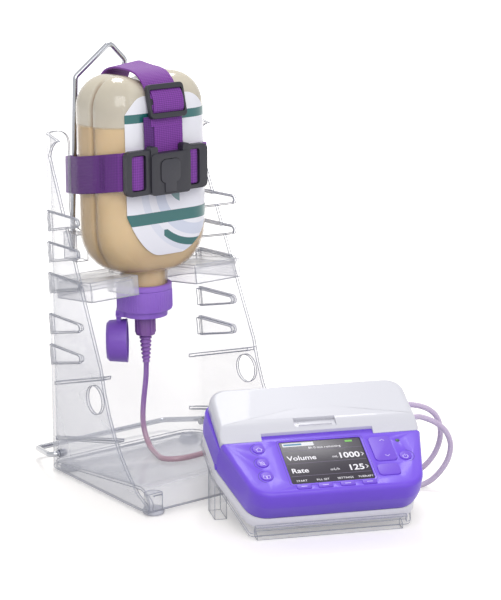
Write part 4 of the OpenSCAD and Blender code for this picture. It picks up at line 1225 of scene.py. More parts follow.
@dataclass
class Stand:
    """The clear shell with its shelf, feet and wire hanger."""

    wall: float = 2.5
    wire: float = 2.0
    bend: float = 4.5
    leg: tuple[Triple, ...] = ((-31.22, 142.2, 156), (-21, 149.5, 281))
    bail: tuple[Triple, ...] = (
        (-61, 112, 16), (-73.5, 112, 16), (-57.5, 155, 7.5))
    hook: tuple[Triple, ...] = ((9, 149.5, 303.6), (22.5, 149.5, 290))
    feet: tuple[Point, ...] = ((-61.5, 1.5), (61.5, 1.5), (-53.5, 116), (53.5, 116))

    def shell(self, rig: Rig) -> None:
        """The moulded shell, its rims firmer than its walls."""
        rig.carried("stand_shell", [SHELL_FACE, SHELL_EDGE], "clear_shell", 0.45, self.wall + 0.9)
        rig.carried("bottle_shelf", [SHELF_FACE, SHELF_EDGE], "clear_shelf", 0.5, self.wall + 1.2)
        rig.outlined("stand_shell", 0.3, SHELL_LINE)
        rig.outlined("bottle_shelf", 0.22, SHELL_LINE)

    def rubber(self, rig: Rig) -> None:
        """Four ringed rubber feet."""
        form = Form()
        for x, y in self.feet:
            form.lathe(STAND, [(0, 0), (4.2, 0), (4.5, 0.35), (6.6, 0.35), (7.2, 0.8), (7.5, 1.5),
                               (7.5, 3.4), (7.1, 4.0), (0, 4.0)], 40, centre=(x, y))
        rig.place(form.build("foot_pads", [FOOT]), "set", "rubber_feet", ["rubber_feet"])

    def wired(self, form: Form, corners: Sequence[Triple]) -> None:
        """Adds a wire with round bends at its corners."""
        line = [Vector(p) for p in corners]
        path = [line[0]]
        for a, b, c in zip(line, line[1:], line[2:]):
            u, v = (a - b).normalized(), (c - b).normalized()
            half = u.angle(v) / 2
            d = self.bend / math.tan(half)
            centre = b + (u + v).normalized() * self.bend / math.sin(half)
            e, f = b + u * d - centre, b + v * d - centre
            turn = math.pi - 2 * half
            for k in range(9):
                path.append(centre + (e * math.sin(turn * (1 - k / 8)) + f * math.sin(turn * k / 8))
                            / math.sin(turn))
        path.append(line[-1])
        fine: list[Vector] = []
        for p, q in zip(path, path[1:]):
            steps = max(1, int((q - p).length / 12))
            fine += [p.lerp(q, k / steps) for k in range(steps)]
        form.sweep([STAND.at(*p) for p in (*fine, path[-1])], self.wire * MM, 18)

    def hanger(self, rig: Rig) -> None:
        """The chromed hanger and the bail behind the stand, with its collars."""
        form = Form()
        for half, middle in ((self.leg, self.hook), (self.bail, ())):
            self.wired(form, (*half, *middle, *((-x, y, z) for x, y, z in reversed(half))))
        for s in (-1, 1):
            side = Place(STAND.at(s * 60.5, 112, 16) / MM, STAND.y, STAND.z * s, STAND.x * s)
            form.lathe(side, [(0, 0), (2.3, 0), (2.5, 0.2), (2.5, 6.9), (2.2, 7.2), (0, 7.2)], 28)
        form.maps = [None] * len(form.maps)
        rig.place(form.build("hanger_wire", [CHROME]), "set", "wire_hanger", ["wire_hanger"])

    def build(self, rig: Rig) -> None:
        """Makes the sub-assembly."""
        self.shell(rig)
        self.rubber(rig)
        self.hanger(rig)


# ---------------------------------------------------------------- the bottle


@dataclass
class Bottle:
    """The blown bottle, its feed and its printed label."""

    width: float = 90.0
    depth: float = 58.0
    height: float = 141.0
    corner: float = 22.0
    top: float = 24.0
    shoulder: float = 32.0
    neck: float = 17.0
    neck_len: float = 26.0
    wall: float = 1.0
    level: float = 106.0
    valley: float = 5.0

    def section(self, z: float, inner: float = 0.0) -> Triple:
        """Half width, half depth and corner radius at a height.

        Args:
            z: the height in the bottle's frame.
            inner: how far inside the outer skin.

        Returns:
            The three sizes.
        """
        hw, hd = self.width / 2 - inner, self.depth / 2 - inner
        bend = self.height - self.top
        if z >= bend:
            t = min(1.0, (z - bend) / (self.top - inner))
            e = (self.top - inner) * (1 - math.sqrt(max(0.0, 1 - t * t)))
            return hw - e, hd - e, max(1.5, self.corner - inner - e)
        if z >= self.shoulder:
            return hw, hd, self.corner - inner
        t = max(0.0, 1 - (z + 0.5 - inner) / (self.shoulder + 0.5 - inner))
        k = math.sqrt(max(0.0, 1 - t * t)) if t < 1 else 0.0
        n = self.neck
        return (n + 3 + (hw - n - 3) * k, n + 1 + (hd - n - 1) * k,
                n - inner + (self.corner - n) * k)

    def spot(self, q: float, z: float, out: float = 0.0) -> Vector:
        """A point of the skin.

        Args:
            q: the way round from the front's middle, in millimetres of the full section.
            z: the height.
            out: how far outside the skin.

        Returns:
            Metres of the row frame.
        """
        hw, hd, r = self.section(z)
        side, far = (1 if q >= 0 else -1), abs(q)
        flat, turn = self.width / 2 - self.corner, self.corner * math.pi / 2
        if far <= flat:
            x, y = far * (hw - r) / flat, -hd
            nx, ny = 0.0, -1.0
        elif far <= flat + turn:
            a = (far - flat) / self.corner
            x, y = hw - r + r * math.sin(a), -(hd - r) - r * math.cos(a)
            nx, ny = math.sin(a), -math.cos(a)
        else:
            x, y = hw, -(hd - r) + (far - flat - turn)
            nx, ny = 1.0, 0.0
        up = 0.0
        if z > self.height - self.top:
            up = (z - (self.height - self.top)) / self.top
        elif z < self.shoulder:
            up = -max(0.0, 1 - z / self.shoulder) * 0.8
        level = math.sqrt(max(0.0, 1 - up * up))
        return BOTTLE.at(side * (x + nx * level * out), y + ny * level * out, z + up * out)

    def loops(self, inner: float, low: float, high: float) -> list[list[Vector]]:
        """Rings of the skin between two heights, closed over the top."""
        heights = [low]
        step = -0.5 + inner
        while step < self.shoulder:
            t = (step + 0.5 - inner) / (self.shoulder + 0.5)
            heights.append(step)
            step += 0.5 + 3.2 * t
        heights += [self.shoulder + (self.height - self.top - self.shoulder) * k / 14
                    for k in range(15)]
        heights += [self.height - self.top + (self.top - inner) * math.sin(math.radians(9 * k))
                    for k in range(1, 11)]
        rings = []
        for z in [h for h in heights if low <= h <= high]:
            sizes = self.section(z, inner)
            if z < -0.4 + inner:
                sizes = self.neck + 1 - inner, self.neck + 1 - inner, self.neck - inner
            rings.append([self.shaped(x, y, z) for x, y in self.plan(*sizes)])
        if high >= self.height:
            plan = self.plan(*self.section(self.height, inner))
            for s in (0.82, 0.64, 0.46, 0.28, 0.1):
                rings.append([self.shaped(x * s, y * s, self.height - inner) for x, y in plan])
        return rings

    def plan(self, hw: float, hd: float, r: float) -> list[Point]:
        """A rounded rectangle with points along its long sides, always the same number."""
        found: list[Point] = []
        plan = rounded(-hw, hw, -hd, hd, r, 10)
        for i, p in enumerate(plan):
            q = plan[(i + 1) % len(plan)]
            found.append(p)
            if i % 11 == 10:
                found += [(p[0] + (q[0] - p[0]) * k / 16, p[1] + (q[1] - p[1]) * k / 16)
                          for k in range(1, 16)]
        return found

    def round_ring(self, r: float, z: float) -> list[Vector]:
        """A round ring with the body's point count and start."""
        return [BOTTLE.at(x * r / math.hypot(x, y), y * r / math.hypot(x, y), z)
                for x, y in self.plan(r, r, r - 0.05)]

    def shaped(self, x: float, y: float, z: float) -> Vector:
        """Sinks the valley between the top's two lobes and the left side's upright groove."""
        rise = max(0.0, (z - (self.height - self.top)) / self.top)
        dip = self.valley * math.exp(-((x + 1.0) / 13.0) ** 2) * rise ** 1.5
        groove = 2.0 * math.exp(-((y + 4.6) / 1.9) ** 2) * min(1.0, max(0.0, (-x - 28) / 10))
        return BOTTLE.at(x + groove, y, z - dip)

    def skin(self, rig: Rig) -> None:
        """The thin wall as an outer and an inner skin joined at the neck's mouth."""
        n, mouth, ring = self.neck, -self.neck_len, self.round_ring
        outer = self.loops(0.0, -0.5, self.height)
        inner = self.loops(self.wall, -0.5 + self.wall, self.height)
        rings = [*reversed(inner), ring(n - 1.5, -1.0), ring(n - 1.5, mouth), ring(n, mouth),
                 ring(n, -1.5), ring(n + 0.8, -0.9), *outer]
        made = Form().skin(rings).build("bottle_look", [BottleWall()], 40.0)
        rig.place(made, "set", "bottle", ["bottle"])

    def feed(self, rig: Rig) -> None:
        """The feed up to its level, with a small rise at the wall."""
        gap, n = self.wall + 0.12, self.neck - 1.65
        body = self.loops(gap, -0.5 + gap, self.level - 0.8)
        for z in (self.level - 0.4, self.level + 0.25):
            body.append([self.shaped(x, y, z) for x, y in self.plan(*self.section(z, gap))])
        hw, hd, r = self.section(self.level, gap)
        for s in (3.4, 6.0, 20.0):
            body.append([BOTTLE.at(x, y, self.level - 0.35)
                         for x, y in self.plan(hw - s, hd - s, max(1.0, r - s))])
        low = [self.round_ring(n, z) for z in (-self.neck_len + 0.3, -2.0)]
        made = Form().skin([*low, *body]).build("feed_look", [Feed()], 40.0)
        rig.place(made, "set", "feed_liquid", ["feed_liquid"])

    def label(self, rig: Rig) -> None:
        """The film round the front and the right side, with a shaped left and lower edge."""
        left, right = -32.2, 66.0
        columns, rows = 64, 56

        def foot(q: float) -> float:
            """The lower edge's height at a place round the bottle."""
            if q < -4:
                t = (q + 4) / (left + 4)
                return 13.4 + 30.0 * t ** 2.3
            if q > 16:
                t = min(1.0, (q - 16) / 24.0)
                return 13.2 + 25.0 * t ** 1.8
            return 13.3

        def head(q: float) -> float:
            """The upper edge's height at a place round the bottle."""
            if q < -15:
                return 127.0 - 12.0 * ((q + 15) / (left + 15)) ** 2.2
            if q > 20:
                return 127.0 - 12.0 * min(1.0, (q - 20) / 18.0) ** 2.2
            return 127.0

        rings = []
        for i in range(columns + 1):
            q = left + (right - left) * i / columns
            low, high = foot(q), head(q)
            heights = [low + (high - low) * k / rows for k in range(rows + 1)]
            rings.append([*(self.spot(q, z, 0.38) for z in heights),
                          *(self.spot(q, z, 0.06) for z in reversed(heights))])
        made = Form().skin(rings).build("printed_film", [Film()], 40.0)
        rig.place(made, "set", "bottle_label", ["bottle_label"])

    def build(self, rig: Rig) -> None:
        """Makes the sub-assembly."""
        self.skin(rig)
        self.feed(rig)
        self.label(rig)


# ---------------------------------------------------------------- the harness


@dataclass
class Harness:
    """The belt and the strap of webbing, with their buckle and ladder lock."""

    thick: float = 1.5
    wide: float = 27.0
    belt_z: float = 225.0
    slope: float = 10.0
    gap: float = 0.9
    lock_angle: float = 13.0
    front: float = 31.7
    buckle_y: float = 64.92

    @property
    def belt_y(self) -> float:
        """The bottle's middle at the belt's height."""
        return BOTTLE_Y + (self.belt_z - BOTTLE_Z) * math.tan(math.radians(LEAN))

    def ribbon(self, form: Form, line: Sequence[Vector], outward: Sequence[Vector],
               across: Vector | Sequence[Vector], wide: float, thick: float, loop: bool,
               start: float = 0.0, low: float = 0.0) -> None:
        """Adds webbing along a line with rounded selvedges and a map in millimetres.

        Args:
            form: where it goes.
            line: its inner face's middle, in metres.
            outward: the direction of its outer face at each point.
            across: the direction of its width.
            wide: its width in millimetres.
            thick: its thickness in millimetres.
            loop: whether the ends join.
            start: the map's value at the start.
            low: how far the inner face is lifted off the line.
        """
        h, t = wide / 2, thick
        profile = [(-h + 0.35, 0), (h - 0.35, 0), (h - 0.08, t * 0.2), (h, t * 0.5),
                   (h - 0.08, t * 0.8), (h - 0.35, t), (h - 1.5, t), (0, t * 1.02),
                   (-h + 1.5, t), (-h + 0.35, t), (-h + 0.08, t * 0.8), (-h, t * 0.5),
                   (-h + 0.08, t * 0.2)]
        rings = []
        run, runs = start, []
        for i, p in enumerate(line):
            if i:
                run += (p - line[i - 1]).length / MM
            runs.append(run)
            side = across if isinstance(across, Vector) else across[i]
            rings.append([p + side * a * MM + outward[i] * (b + low) * MM for a, b in profile])
        runs.append(run + (line[0] - line[-1]).length / MM)
        form.skin(rings, caps=not loop, loop=loop,
                  uv=lambda i, k: (profile[k % len(profile)][0], runs[i]))

    def belt(self, rig: Rig, photo: Photo) -> None:
        """The belt round the bottle and the hanger's legs, with its sewn overlap."""
        y = self.belt_y
        hw, hd, r = 45.0, 29.0, 22.0
        circles = [(-37, y - hd + 1.5, 1.5), (33, y - hd + 1.5, 1.5), (hw - r, y - hd + r, r),
                   (hw - r, y + hd - r, r), (26.8, 145.4, 3.4), (-26.8, 145.4, 3.4),
                   (-(hw - r), y + hd - r, r), (-(hw - r), y - hd + r, r)]
        plan = outline(circles, self.gap, 12)
        dense: list[Point] = []
        for i, p in enumerate(plan):
            q = plan[(i + 1) % len(plan)]
            steps = max(1, int(math.dist(p, q) / 4))
            dense += [(p[0] + (q[0] - p[0]) * k / steps, p[1] + (q[1] - p[1]) * k / steps)
                      for k in range(steps)]
        plan = [p for i, p in enumerate(dense) if math.dist(p, dense[i - 1]) > 0.02]
        tilt = math.tan(math.radians(self.slope))
        line, out = [], []
        for i, (x, yy) in enumerate(plan):
            a, b = plan[i - 1], plan[(i + 1) % len(plan)]
            d = Vector((b[0] - a[0], b[1] - a[1])).normalized()
            out.append(Vector((d.y, -d.x, 0)))
            line.append(STAND.at(x, yy, self.belt_z + (y - hd - yy) * tilt))
        form = Form()
        self.ribbon(form, line, out, Vector((0, 0, 1)), self.wide, self.thick, True)
        made = form.build("belt_webbing", [STRAP], 50.0)
        rig.place(made, "set", "webbing", ["belt_strap"])
        # the sewn end, a second layer from the buckle to the seam in the picture
        spot, _ = photo.on(photo.points["belt_seam"], made)
        seam = STAND.inside(spot)
        layer = Form()
        part = [i for i, (x, yy) in enumerate(plan)
                if yy < y - 5 and x < -34 and (x > seam.x - 0.8 or yy < seam.y)]
        part.sort(key=lambda i: math.atan2(plan[i][1] - y, plan[i][0]))
        part = [i for i in part if plan[i][1] < seam.y + 1.2]
        self.ribbon(layer, [line[i] for i in part], [out[i] for i in part], Vector((0, 0, 1)),
                    self.wide - 0.4, 1.0, False, low=self.thick)
        rig.place(layer.build("belt_overlap", [STRAP], 50.0), "set", "webbing")
        first = min(part, key=lambda i: abs(plan[i][1] - seam.y))
        self.stitches(rig, line[first], out[first])

    def stitches(self, rig: Rig, spot: Vector, out: Vector) -> None:
        """Two rows of stitches across the belt beside the seam."""
        ahead = Vector((0, 0, 1)).cross(out).normalized()
        for row, shift in (("", 1.6), ("_second", 4.0)):
            unit = Form().sweep([Vector((out_by, 0, along)) * MM for along, out_by in (
                (-0.65, 0.0), (-0.3, 0.26), (0.3, 0.26), (0.65, 0.0))], 0.22 * MM, 5)
            unit.maps = [None] * len(unit.maps)
            # the stitches take the darker copy of the webbing, painted shade
            small = unit.build("stitch_unit", [STRAP_SHADED])
            turn = Matrix((out, -ahead, Vector((0, 0, 1)))).transposed().to_4x4()
            middle = spot + out * (self.thick + 1.05) * MM - ahead * shift * MM
            middle -= Vector((0, 0, self.wide / 2 - 2.0)) * MM
            made = repeated("belt_seam" + row, small, 13, 0.0, STRAP_SHADED, 0.0,
                            Matrix.Translation(middle) @ turn, self.wide - 2.2)
            rig.place(made, "set", "webbing")

    def strap(self, rig: Rig) -> None:
        """The strap over the bottle, its run to the buckle, its roll in the lock and its tail."""
        foot, front, back = 69.24, -self.front - 0.15, 47.85
        over = [(front, 106), (-30.9, 114), (-29.0, 121.5), (-26.2, 129), (-21.6, 135.8),
                (-15.5, 140.4), (-8, 142.4), (0, 143), (9, 143.6), (17, 143.6), (24, 141),
                (30, 134.5), (36, 122), (42, 100), (back, 74.2), (back, foot - 16)]
        for name, points, middle, wide, deep, finish in (
                ("strap_webbing", over, 0.0, self.wide, 0.0, STRAP),
                ("strap_run", [(front, foot), (front, 100), (-31.2, 114.5)], 1.2, 24.4, 0.0, STRAP),
                # the tail in the darker copy of the webbing is painted shade
                ("strap_tail", [(front, 90), (front, 100), (-31.4, 113)], -15.0, 8.0, 0.5,
                 STRAP_SHADED)):
            path = smooth_path([Vector((a, b, 0)) for a, b in points], 2.2)
            line, out, across = [], [], []
            for i, p in enumerate(path):
                d = (path[min(i + 1, len(path) - 1)] - path[max(i - 1, 0)]).normalized()
                normal = BOTTLE.y * -d.y + BOTTLE.z * d.x
                lift = 0.12 * math.exp(-((p.x - 21) / 11.0) ** 2) if p.y > 120 else 0.0
                side = (BOTTLE.x + normal * lift).normalized()
                line.append(BOTTLE.at(middle, p.x, p.y) - normal * deep * MM)
                out.append(normal - side * normal.dot(side))
                across.append(side)
            form = Form()
            self.ribbon(form, line, out, across, wide, self.thick, False)
            covers = ["top_strap"] if name == "strap_webbing" else []
            rig.place(form.build(name, [finish], 50.0), "set", "webbing", covers)
        place = self.lock_place()
        lift = 24.3 + self.thick
        for name, wide, high, deep, shift in (("webbing_roll", self.wide - 1.2, 7.5, 3.2, 0.4),
                                              ("webbing_fold", self.wide - 1.2, 5.6, 1.9, -0.5)):
            line, out = [], []
            for k in range(25):
                t = math.radians(-8 + 196 * k / 24)
                a, b = math.cos(t), math.sin(t)
                line.append(place.at(shift, -(lift + deep * b + 1.0), high * a))
                out.append((place.z * a * deep - place.y * b * high).normalized())
            form = Form()
            self.ribbon(form, line, out, place.x, wide, 1.2, False)
            rig.place(form.build(name, [STRAP], 50.0), "set", "webbing")

    def loops(self, rig: Rig) -> None:
        """The belt's ends, rolled round the bars in the buckle's windows."""
        for name, x, half, deep, high in (("buckle_loop_left", -29.0, 5.4, 3.2, 24.0),
                                          ("buckle_loop_right", 18.8, 3.9, 3.0, 24.6)):
            line, out = [], []
            for k in range(17):
                t = math.radians(-10 + 200 * k / 16)
                a, b = math.cos(t), math.sin(t)
                line.append(STAND.at(x + half * a, self.buckle_y - 0.3 - deep * b,
                                     self.belt_z - 0.6))
                out.append(Vector((a * deep, -b * half, 0)).normalized())
            form = Form()
            self.ribbon(form, line, out, Vector((0, 0, 1)), high, 1.1, False)
            rig.place(form.build(name, [STRAP], 50.0), "set", "webbing")

    def lock_place(self) -> Place:
        """The ladder lock's own axes."""
        t = math.radians(-self.lock_angle)
        y = BOTTLE.y * math.cos(t) + BOTTLE.z * math.sin(t)
        z = BOTTLE.z * math.cos(t) - BOTTLE.y * math.sin(t)
        spot = BOTTLE.origin + BOTTLE.y * -5.0 + BOTTLE.z * 117.0
        return Place(spot, BOTTLE.x, y, z)

    def hardware(self, rig: Rig) -> None:
        """The buckle, its button and the ladder lock."""
        rig.carried("buckle_frame", [BUCKLE], "buckle", 0.9, segments=3)
        made = softened(rig.copy("buckle_button", "release_button_look"), 0.7, [BUTTON], 3)
        rig.place(made, "release_button", "buckle_button", ["buckle_button"])
        rig.carried("ladder_lock", [BUCKLE], "buckle", 0.8, segments=3)

    def build(self, rig: Rig, photo: Photo) -> None:
        """Makes the sub-assembly."""
        self.belt(rig, photo)
        self.strap(rig)
        self.loops(rig)
        self.hardware(rig)


# ---------------------------------------------------------------- cap, spout and tubes


@dataclass
class Spout:
    """The screw cap with its tamper ring, the hanging lid, the connector and its sleeve."""

    top: float = -11.4
    height: float = 19.6
    ring: float = 4.0
    radius: float = 20.0
    flange_r: float = 16.5
    flange_h: float = 4.6
    neck: float = 17.0
    plug_r: float = 7.0
    plug_h: float = 14.3
    sleeve: float = 20.9
    lid_turn: float = -38.0
    ribs: int = 64

    def cap(self, rig: Rig) -> None:
        """The cap, its ribs and the ring that tears off it."""
        foot = self.top - self.height
        rim = self.top - self.ring - 0.15
        n, r, f = self.neck + 0.15, self.radius, self.flange_r
        form = Form().lathe(BOTTLE, [
            (self.plug_r - 2, foot - self.flange_h), (f - 0.8, foot - self.flange_h),
            (f - 0.2, foot - self.flange_h + 0.25), (f, foot - self.flange_h + 0.9),
            (f, foot - 0.6), (f + 0.5, foot - 0.1), (r - 1.2, foot + 0.1), (r - 0.3, foot + 0.5),
            (r, foot + 1.3), (r, rim - 0.35), (r - 0.3, rim), (n, rim), (n, foot + 2),
            (self.plug_r - 2, foot + 2), (self.plug_r - 2, foot - self.flange_h)], 96)
        made = form.build("cap_look", [CAP], 40.0)
        turn = math.radians(self.lid_turn)
        x_axis = BOTTLE.x * math.cos(turn) + BOTTLE.y * math.sin(turn)
        side = Place(BOTTLE.origin, x_axis, BOTTLE.z, BOTTLE.x * math.sin(turn)
                     - BOTTLE.y * math.cos(turn))
        ears = Form()
        for y in (-7.0, 4.0):
            ears.prism(side, rounded(-f - 4.4, -12, foot - self.flange_h, foot + 0.5, 1.2),
                       -y - 3, -y)
        cut(made, ears, join=True)
        hole = Form().lathe(side.moved(-f - 2.6, foot - self.flange_h / 2, 0),
                            [(1.35, -12), (1.35, 12)], 24)
        cut(made, hole)
        dress(made, [CAP], 40.0)
        rig.place(made, "set", "cap", ["screw_cap"])
        rig.place(self.row("cap_ribs", foot + 1.6, rim - 0.6, self.ribs, 0.55), "set", "cap")
        band = Form().lathe(BOTTLE, [
            (n, self.top - self.ring), (r - 0.35, self.top - self.ring),
            (r, self.top - self.ring + 0.4), (r, self.top - 0.5), (r - 0.5, self.top),
            (n, self.top), (n, self.top - self.ring)], 96)
        rig.place(band.build("tamper_band", [CAP], 40.0), "set", "cap", ["tamper_ring"])
        rig.place(self.row("tamper_bridges", rim - 0.15, rim + 0.55, 20, 1.5, -0.35), "set", "cap")

    def row(self, name: str, low: float, high: float, count: int, wide: float,
            proud: float = 0.0) -> bpy.types.Object:
        """Sets small upright ribs round the cap with Geometry Nodes."""
        half, rings = wide / 2, []
        for z, k in ((low, 0.4), (low + 0.4, 1.0), (high - 0.4, 1.0), (high, 0.4)):
            rings.append([Vector((x, y, z)) * MM for x, y in (
                (-0.4, -half), (0.18 * k + proud, -half * 0.6), (0.26 * k + proud, 0.0),
                (0.18 * k + proud, half * 0.6), (-0.4, half))])
        small = Form().skin(rings).build(name + "_unit", [CAP])
        return repeated(name, small, count, 360.0, CAP, self.radius, BOTTLE.matrix(0, 0, 0))

    def lid(self, rig: Rig) -> None:
        """The open flip lid."""
        made = softened(rig.copy("flip_lid", "flip_lid_look"), 0.55, [LID], 3)
        rig.place(made, "cap_lid", "lid", ["flip_lid"])

    def connector(self, rig: Rig) -> None:
        """The ribbed connector and the sleeve with its rings."""
        rig.carried("spike_connector", [CONNECTOR], "connector", 0.35)
        foot = self.top - self.height - self.flange_h - self.plug_h
        profile = [(1.4, foot - self.sleeve), (2.45, foot - self.sleeve),
                   (2.75, foot - self.sleeve + 0.3)]
        for k in range(5, -1, -1):
            z, r = foot - 3 - 3 * k, 4.5 - 0.27 * k
            profile += [(r - 0.95, z - 0.45), (r - 0.25, z - 0.15), (r, z + 0.25), (r, z + 1.0),
                        (r - 0.3, z + 1.35), (r - 0.85, z + 1.6)]
        profile += [(4.4, foot), (1.4, foot), (1.4, foot - self.sleeve)]
        rig.place(Form().lathe(BOTTLE, profile, 40).build("strain_relief_look", [SLEEVE], 45.0),
                  "set", "strain_relief", ["strain_relief"])

    def build(self, rig: Rig) -> None:
        """Makes the sub-assembly."""
        self.cap(rig)
        self.lid(rig)
        self.connector(rig)


FEED_TUBE = Tubing("feed_tubing", (148, 100, 184), (200, 164, 176), (214, 196, 224),
                   (15.0, 70.0), (150.0, 230.0))
PATIENT_TUBE = Tubing("patient_tubing", (214, 196, 224), (208, 196, 222), (206, 196, 222),
                      (60.0, 160.0), (300.0, 500.0), 0.8)


@dataclass
class Tubes:
    """The feed tube to the pump and the patient tube with its coil and connector."""

    radius: float = 2.0
    port_n: float = 30.5
    bay_x: float = 60.0
    right_x: float = 74.0
    route: tuple[Triple, ...] = (
        (-0.5, 95.1, 66), (-2, 95, 55), (-3.5, 94.8, 44), (-4.6, 93.6, 33), (-5, 90, 23.5),
        (-6, 83, 16.8), (-9, 73, 15.4), (-13, 63, 16.2), (-16, 54, 17.2), (-14, 46, 18.2),
        (-7, 41.5, 18.7), (3, 41, 18.7), (14, 42, 18.6), (25, 41.5, 18.7), (35, 37, 19.2),
        (43, 29, 20.1), (49, 19, 21.2), (54, 9, 22.5), (58, 0, 21.6), (62, -8, 16),
        (66, -15, 9), (71, -22, 4), (78, -29, 2.3), (87, -36, 2.2), (97, -42, 2.2))
    rise: tuple[Triple, ...] = (
        (66, 94, 2.2), (76, 93, 3.4), (85, 90.5, 8), (93, 88, 14), (99.5, 86, 23),
        (103, 84.5, 34), (102.5, 83.5, 45), (98, 82, 54), (89, 79.5, 60.5))
    drop: tuple[Triple, ...] = (
        (83, 66.5, 57.5), (93, 67, 53), (101.5, 68, 45.5), (106, 70, 35.5), (105.5, 72, 24.5),
        (101, 74.5, 14.5), (94, 77, 6.5), (84.5, 78.5, 2.6), (74, 79, 2.2), (63, 79, 2.2),
        (52, 77.5, 2.2), (41, 73.5, 2.2), (32, 67, 2.2), (24.5, 60, 2.2))
    coil: Point = (-5.0, 75.0)
    turns: tuple[float, ...] = (27.0, 23.0, 19.0)
    layers: tuple[float, ...] = (2.15, 6.15, 10.15)
    tail: tuple[Triple, ...] = (
        (-14, 92, 14.4), (-5, 91.5, 14.8), (4, 88.5, 15.6), (11, 83, 16.6), (16, 76, 17.3))

    def port(self, i: int, x: float) -> Vector:
        """A point on the tube's line in the pump's side, in metres."""
        return PUMP.at(x, PORTS[i], self.port_n)

    def feed(self, rig: Rig) -> None:
        """From the sleeve down, over the floor plate and round into the pump's side."""
        top = -70.8
        first = STAND.at(0, BOTTLE_Y + top * math.sin(math.radians(LEAN)),
                         BOTTLE_Z + top * math.cos(math.radians(LEAN)) - 0.2)
        points = [first, *(STAND.at(*p) for p in self.route), *(TRAY.at(*p) for p in self.rise),
                  self.port(0, self.right_x + 2), self.port(0, self.bay_x + 7)]
        path = smooth_path(points, 3.0 * MM)
        made = Form().sweep(path, self.radius * MM, 16).build("feed_tube_look", [FEED_TUBE], 60.0)
        rig.place(made, "set", "feed_tubing", ["feed_tube"])
        self.declare(made, path)

    def round_coil(self, r: float, degrees: float, z: float) -> Vector:
        """A point about the coil's middle, in metres."""
        a = math.radians(degrees)
        return TRAY.at(self.coil[0] + r * math.cos(a), self.coil[1] + r * math.sin(a), z)

    def winding(self) -> list[Vector]:
        """The coil's centreline: three turns inwards, three outwards and three inwards."""
        start, window, entry, tail_turn = -43.8, 46.0, 31.2, 62
        radii: list[float] = []
        heights: list[float] = []
        for layer, z in enumerate(self.layers):
            row = self.turns if layer % 2 == 0 else tuple(reversed(self.turns))
            radii += row
            heights += [z] * len(row)
        found = []
        stop = 8 * 360 + 177.6 - tail_turn
        steps = int(stop / 10)
        for k in range(1, steps + 1):
            run = stop * k / steps
            turn, share = divmod(run - 4.0, 360.0)
            i = int(turn)
            r, z = radii[max(i, 0)], heights[max(i, 0)]
            left = share - (360 - window)
            if i < 0:
                r = entry
            if i >= 0 and left > 0 and i + 1 < len(radii):
                t = left / window
                s = t * t * (3 - 2 * t)
                r += (radii[i + 1] - r) * s
                z += (heights[i + 1] - z) * s
                if heights[i + 1] > heights[i]:
                    r += (1.3 if radii[i] > 23 else -1.3) * math.sin(math.pi * t)
            if run < 70:
                s = run / 70
                r += (entry - r) * (1 - s * s * (3 - 2 * s))
            found.append(self.round_coil(r, start - run, z))
        return found + [self.round_coil(r, start - stop - tail_turn * share, z) for share, r, z in (
            (0.3, 18.6, 11.6), (0.62, 19.2, 13.6), (0.9, 21.4, 14.35))]

    def patient(self, rig: Rig) -> None:
        """From the pump's side round to the coil behind it, and its tail with the connector."""
        way = [self.port(1, self.bay_x + 7), self.port(1, self.right_x + 2),
               *(TRAY.at(*p) for p in self.drop)]
        points = [*way, TRAY.at(17.5, 53.4, 2.2), *self.winding(),
                  *(TRAY.at(*p) for p in self.tail)]
        path = smooth_path(points, 2.6 * MM)
        made = Form().sweep(path, self.radius * MM, 12).build(
            "patient_tube_look", [PATIENT_TUBE], 60.0)
        rig.place(made, "set", "patient_tubing", ["patient_tube", "tube_coil", "tail_tube"])
        ends = [rig.carried("patient_connector", [CONNECTOR], "connector", 0.3),
                rig.carried("connector_cap", [CONNECTOR], "connector", 0.3),
                rig.carried("coil_tie", [KEPT["coil_tie"]], "coil_tie", 0.2)]
        self.declare(made, path)

    def declare(self, made: bpy.types.Object, path: list[Vector]) -> None:
        """Logs a tube's length."""
        length = sum((q - p).length for p, q in zip(path, path[1:]))
        LOG.info("%s is %.3f m long", made.name, length)
        tuple(path[0])
        [tuple(p) for p in path]

    def build(self, rig: Rig) -> None:
        """Makes both tubes."""
        self.feed(rig)
        self.patient(rig)


# ---------------------------------------------------------------- the pump


BODY_LEFT, BODY_RIGHT, LENGTH = -69.0, 74.0, 110.0
FACE, DECK, SEAM, WAIST = 39.5, 33.3, 13.0, 28.0
DOOR_U, NOTCH_U, CREASE_U, NOTCH_W = 56.0, 61.0, 66.0, 39.0
HINGE_U, HINGE_N, HINGE_X = 105.0, 38.6, 45.0
TROUGH_U, TROUGH_N = 98.5, 30.7
BAY = (12.0, 60.0, 72.0, 97.65)
PORTS = (94.0, 80.0)
SOFT_X, SOFT_U = (-21.2, -6.6, 8.6, 23.6), 7.8


def body_ring(front: float) -> list[Triple]:
    """The circles of the body's outline."""
    return [(-42, front + 16, 16), (47, front + 16, 16), (59, 60, 14), (60, LENGTH - 14, 14),
            (-55, LENGTH - 14, 14), (-54, 60, 14)]


def door_ring(front: float) -> list[Triple]:
    """The circles of the door's outline."""
    return [(-64, front + 3, 3), (68.5, front + 3, 3), (59, LENGTH - 14.5, 12.5),
            (-54.5, LENGTH - 14.5, 12.5)]


def hinge_pin(half: float) -> Form:
    """A cutter along the door's hinge."""
    return Form().lathe(Place(PUMP.at(0, HINGE_U, HINGE_N) / MM, PUMP.y, PUMP.z, PUMP.x),
                        [(1.35, -half), (1.35, half)], 24)


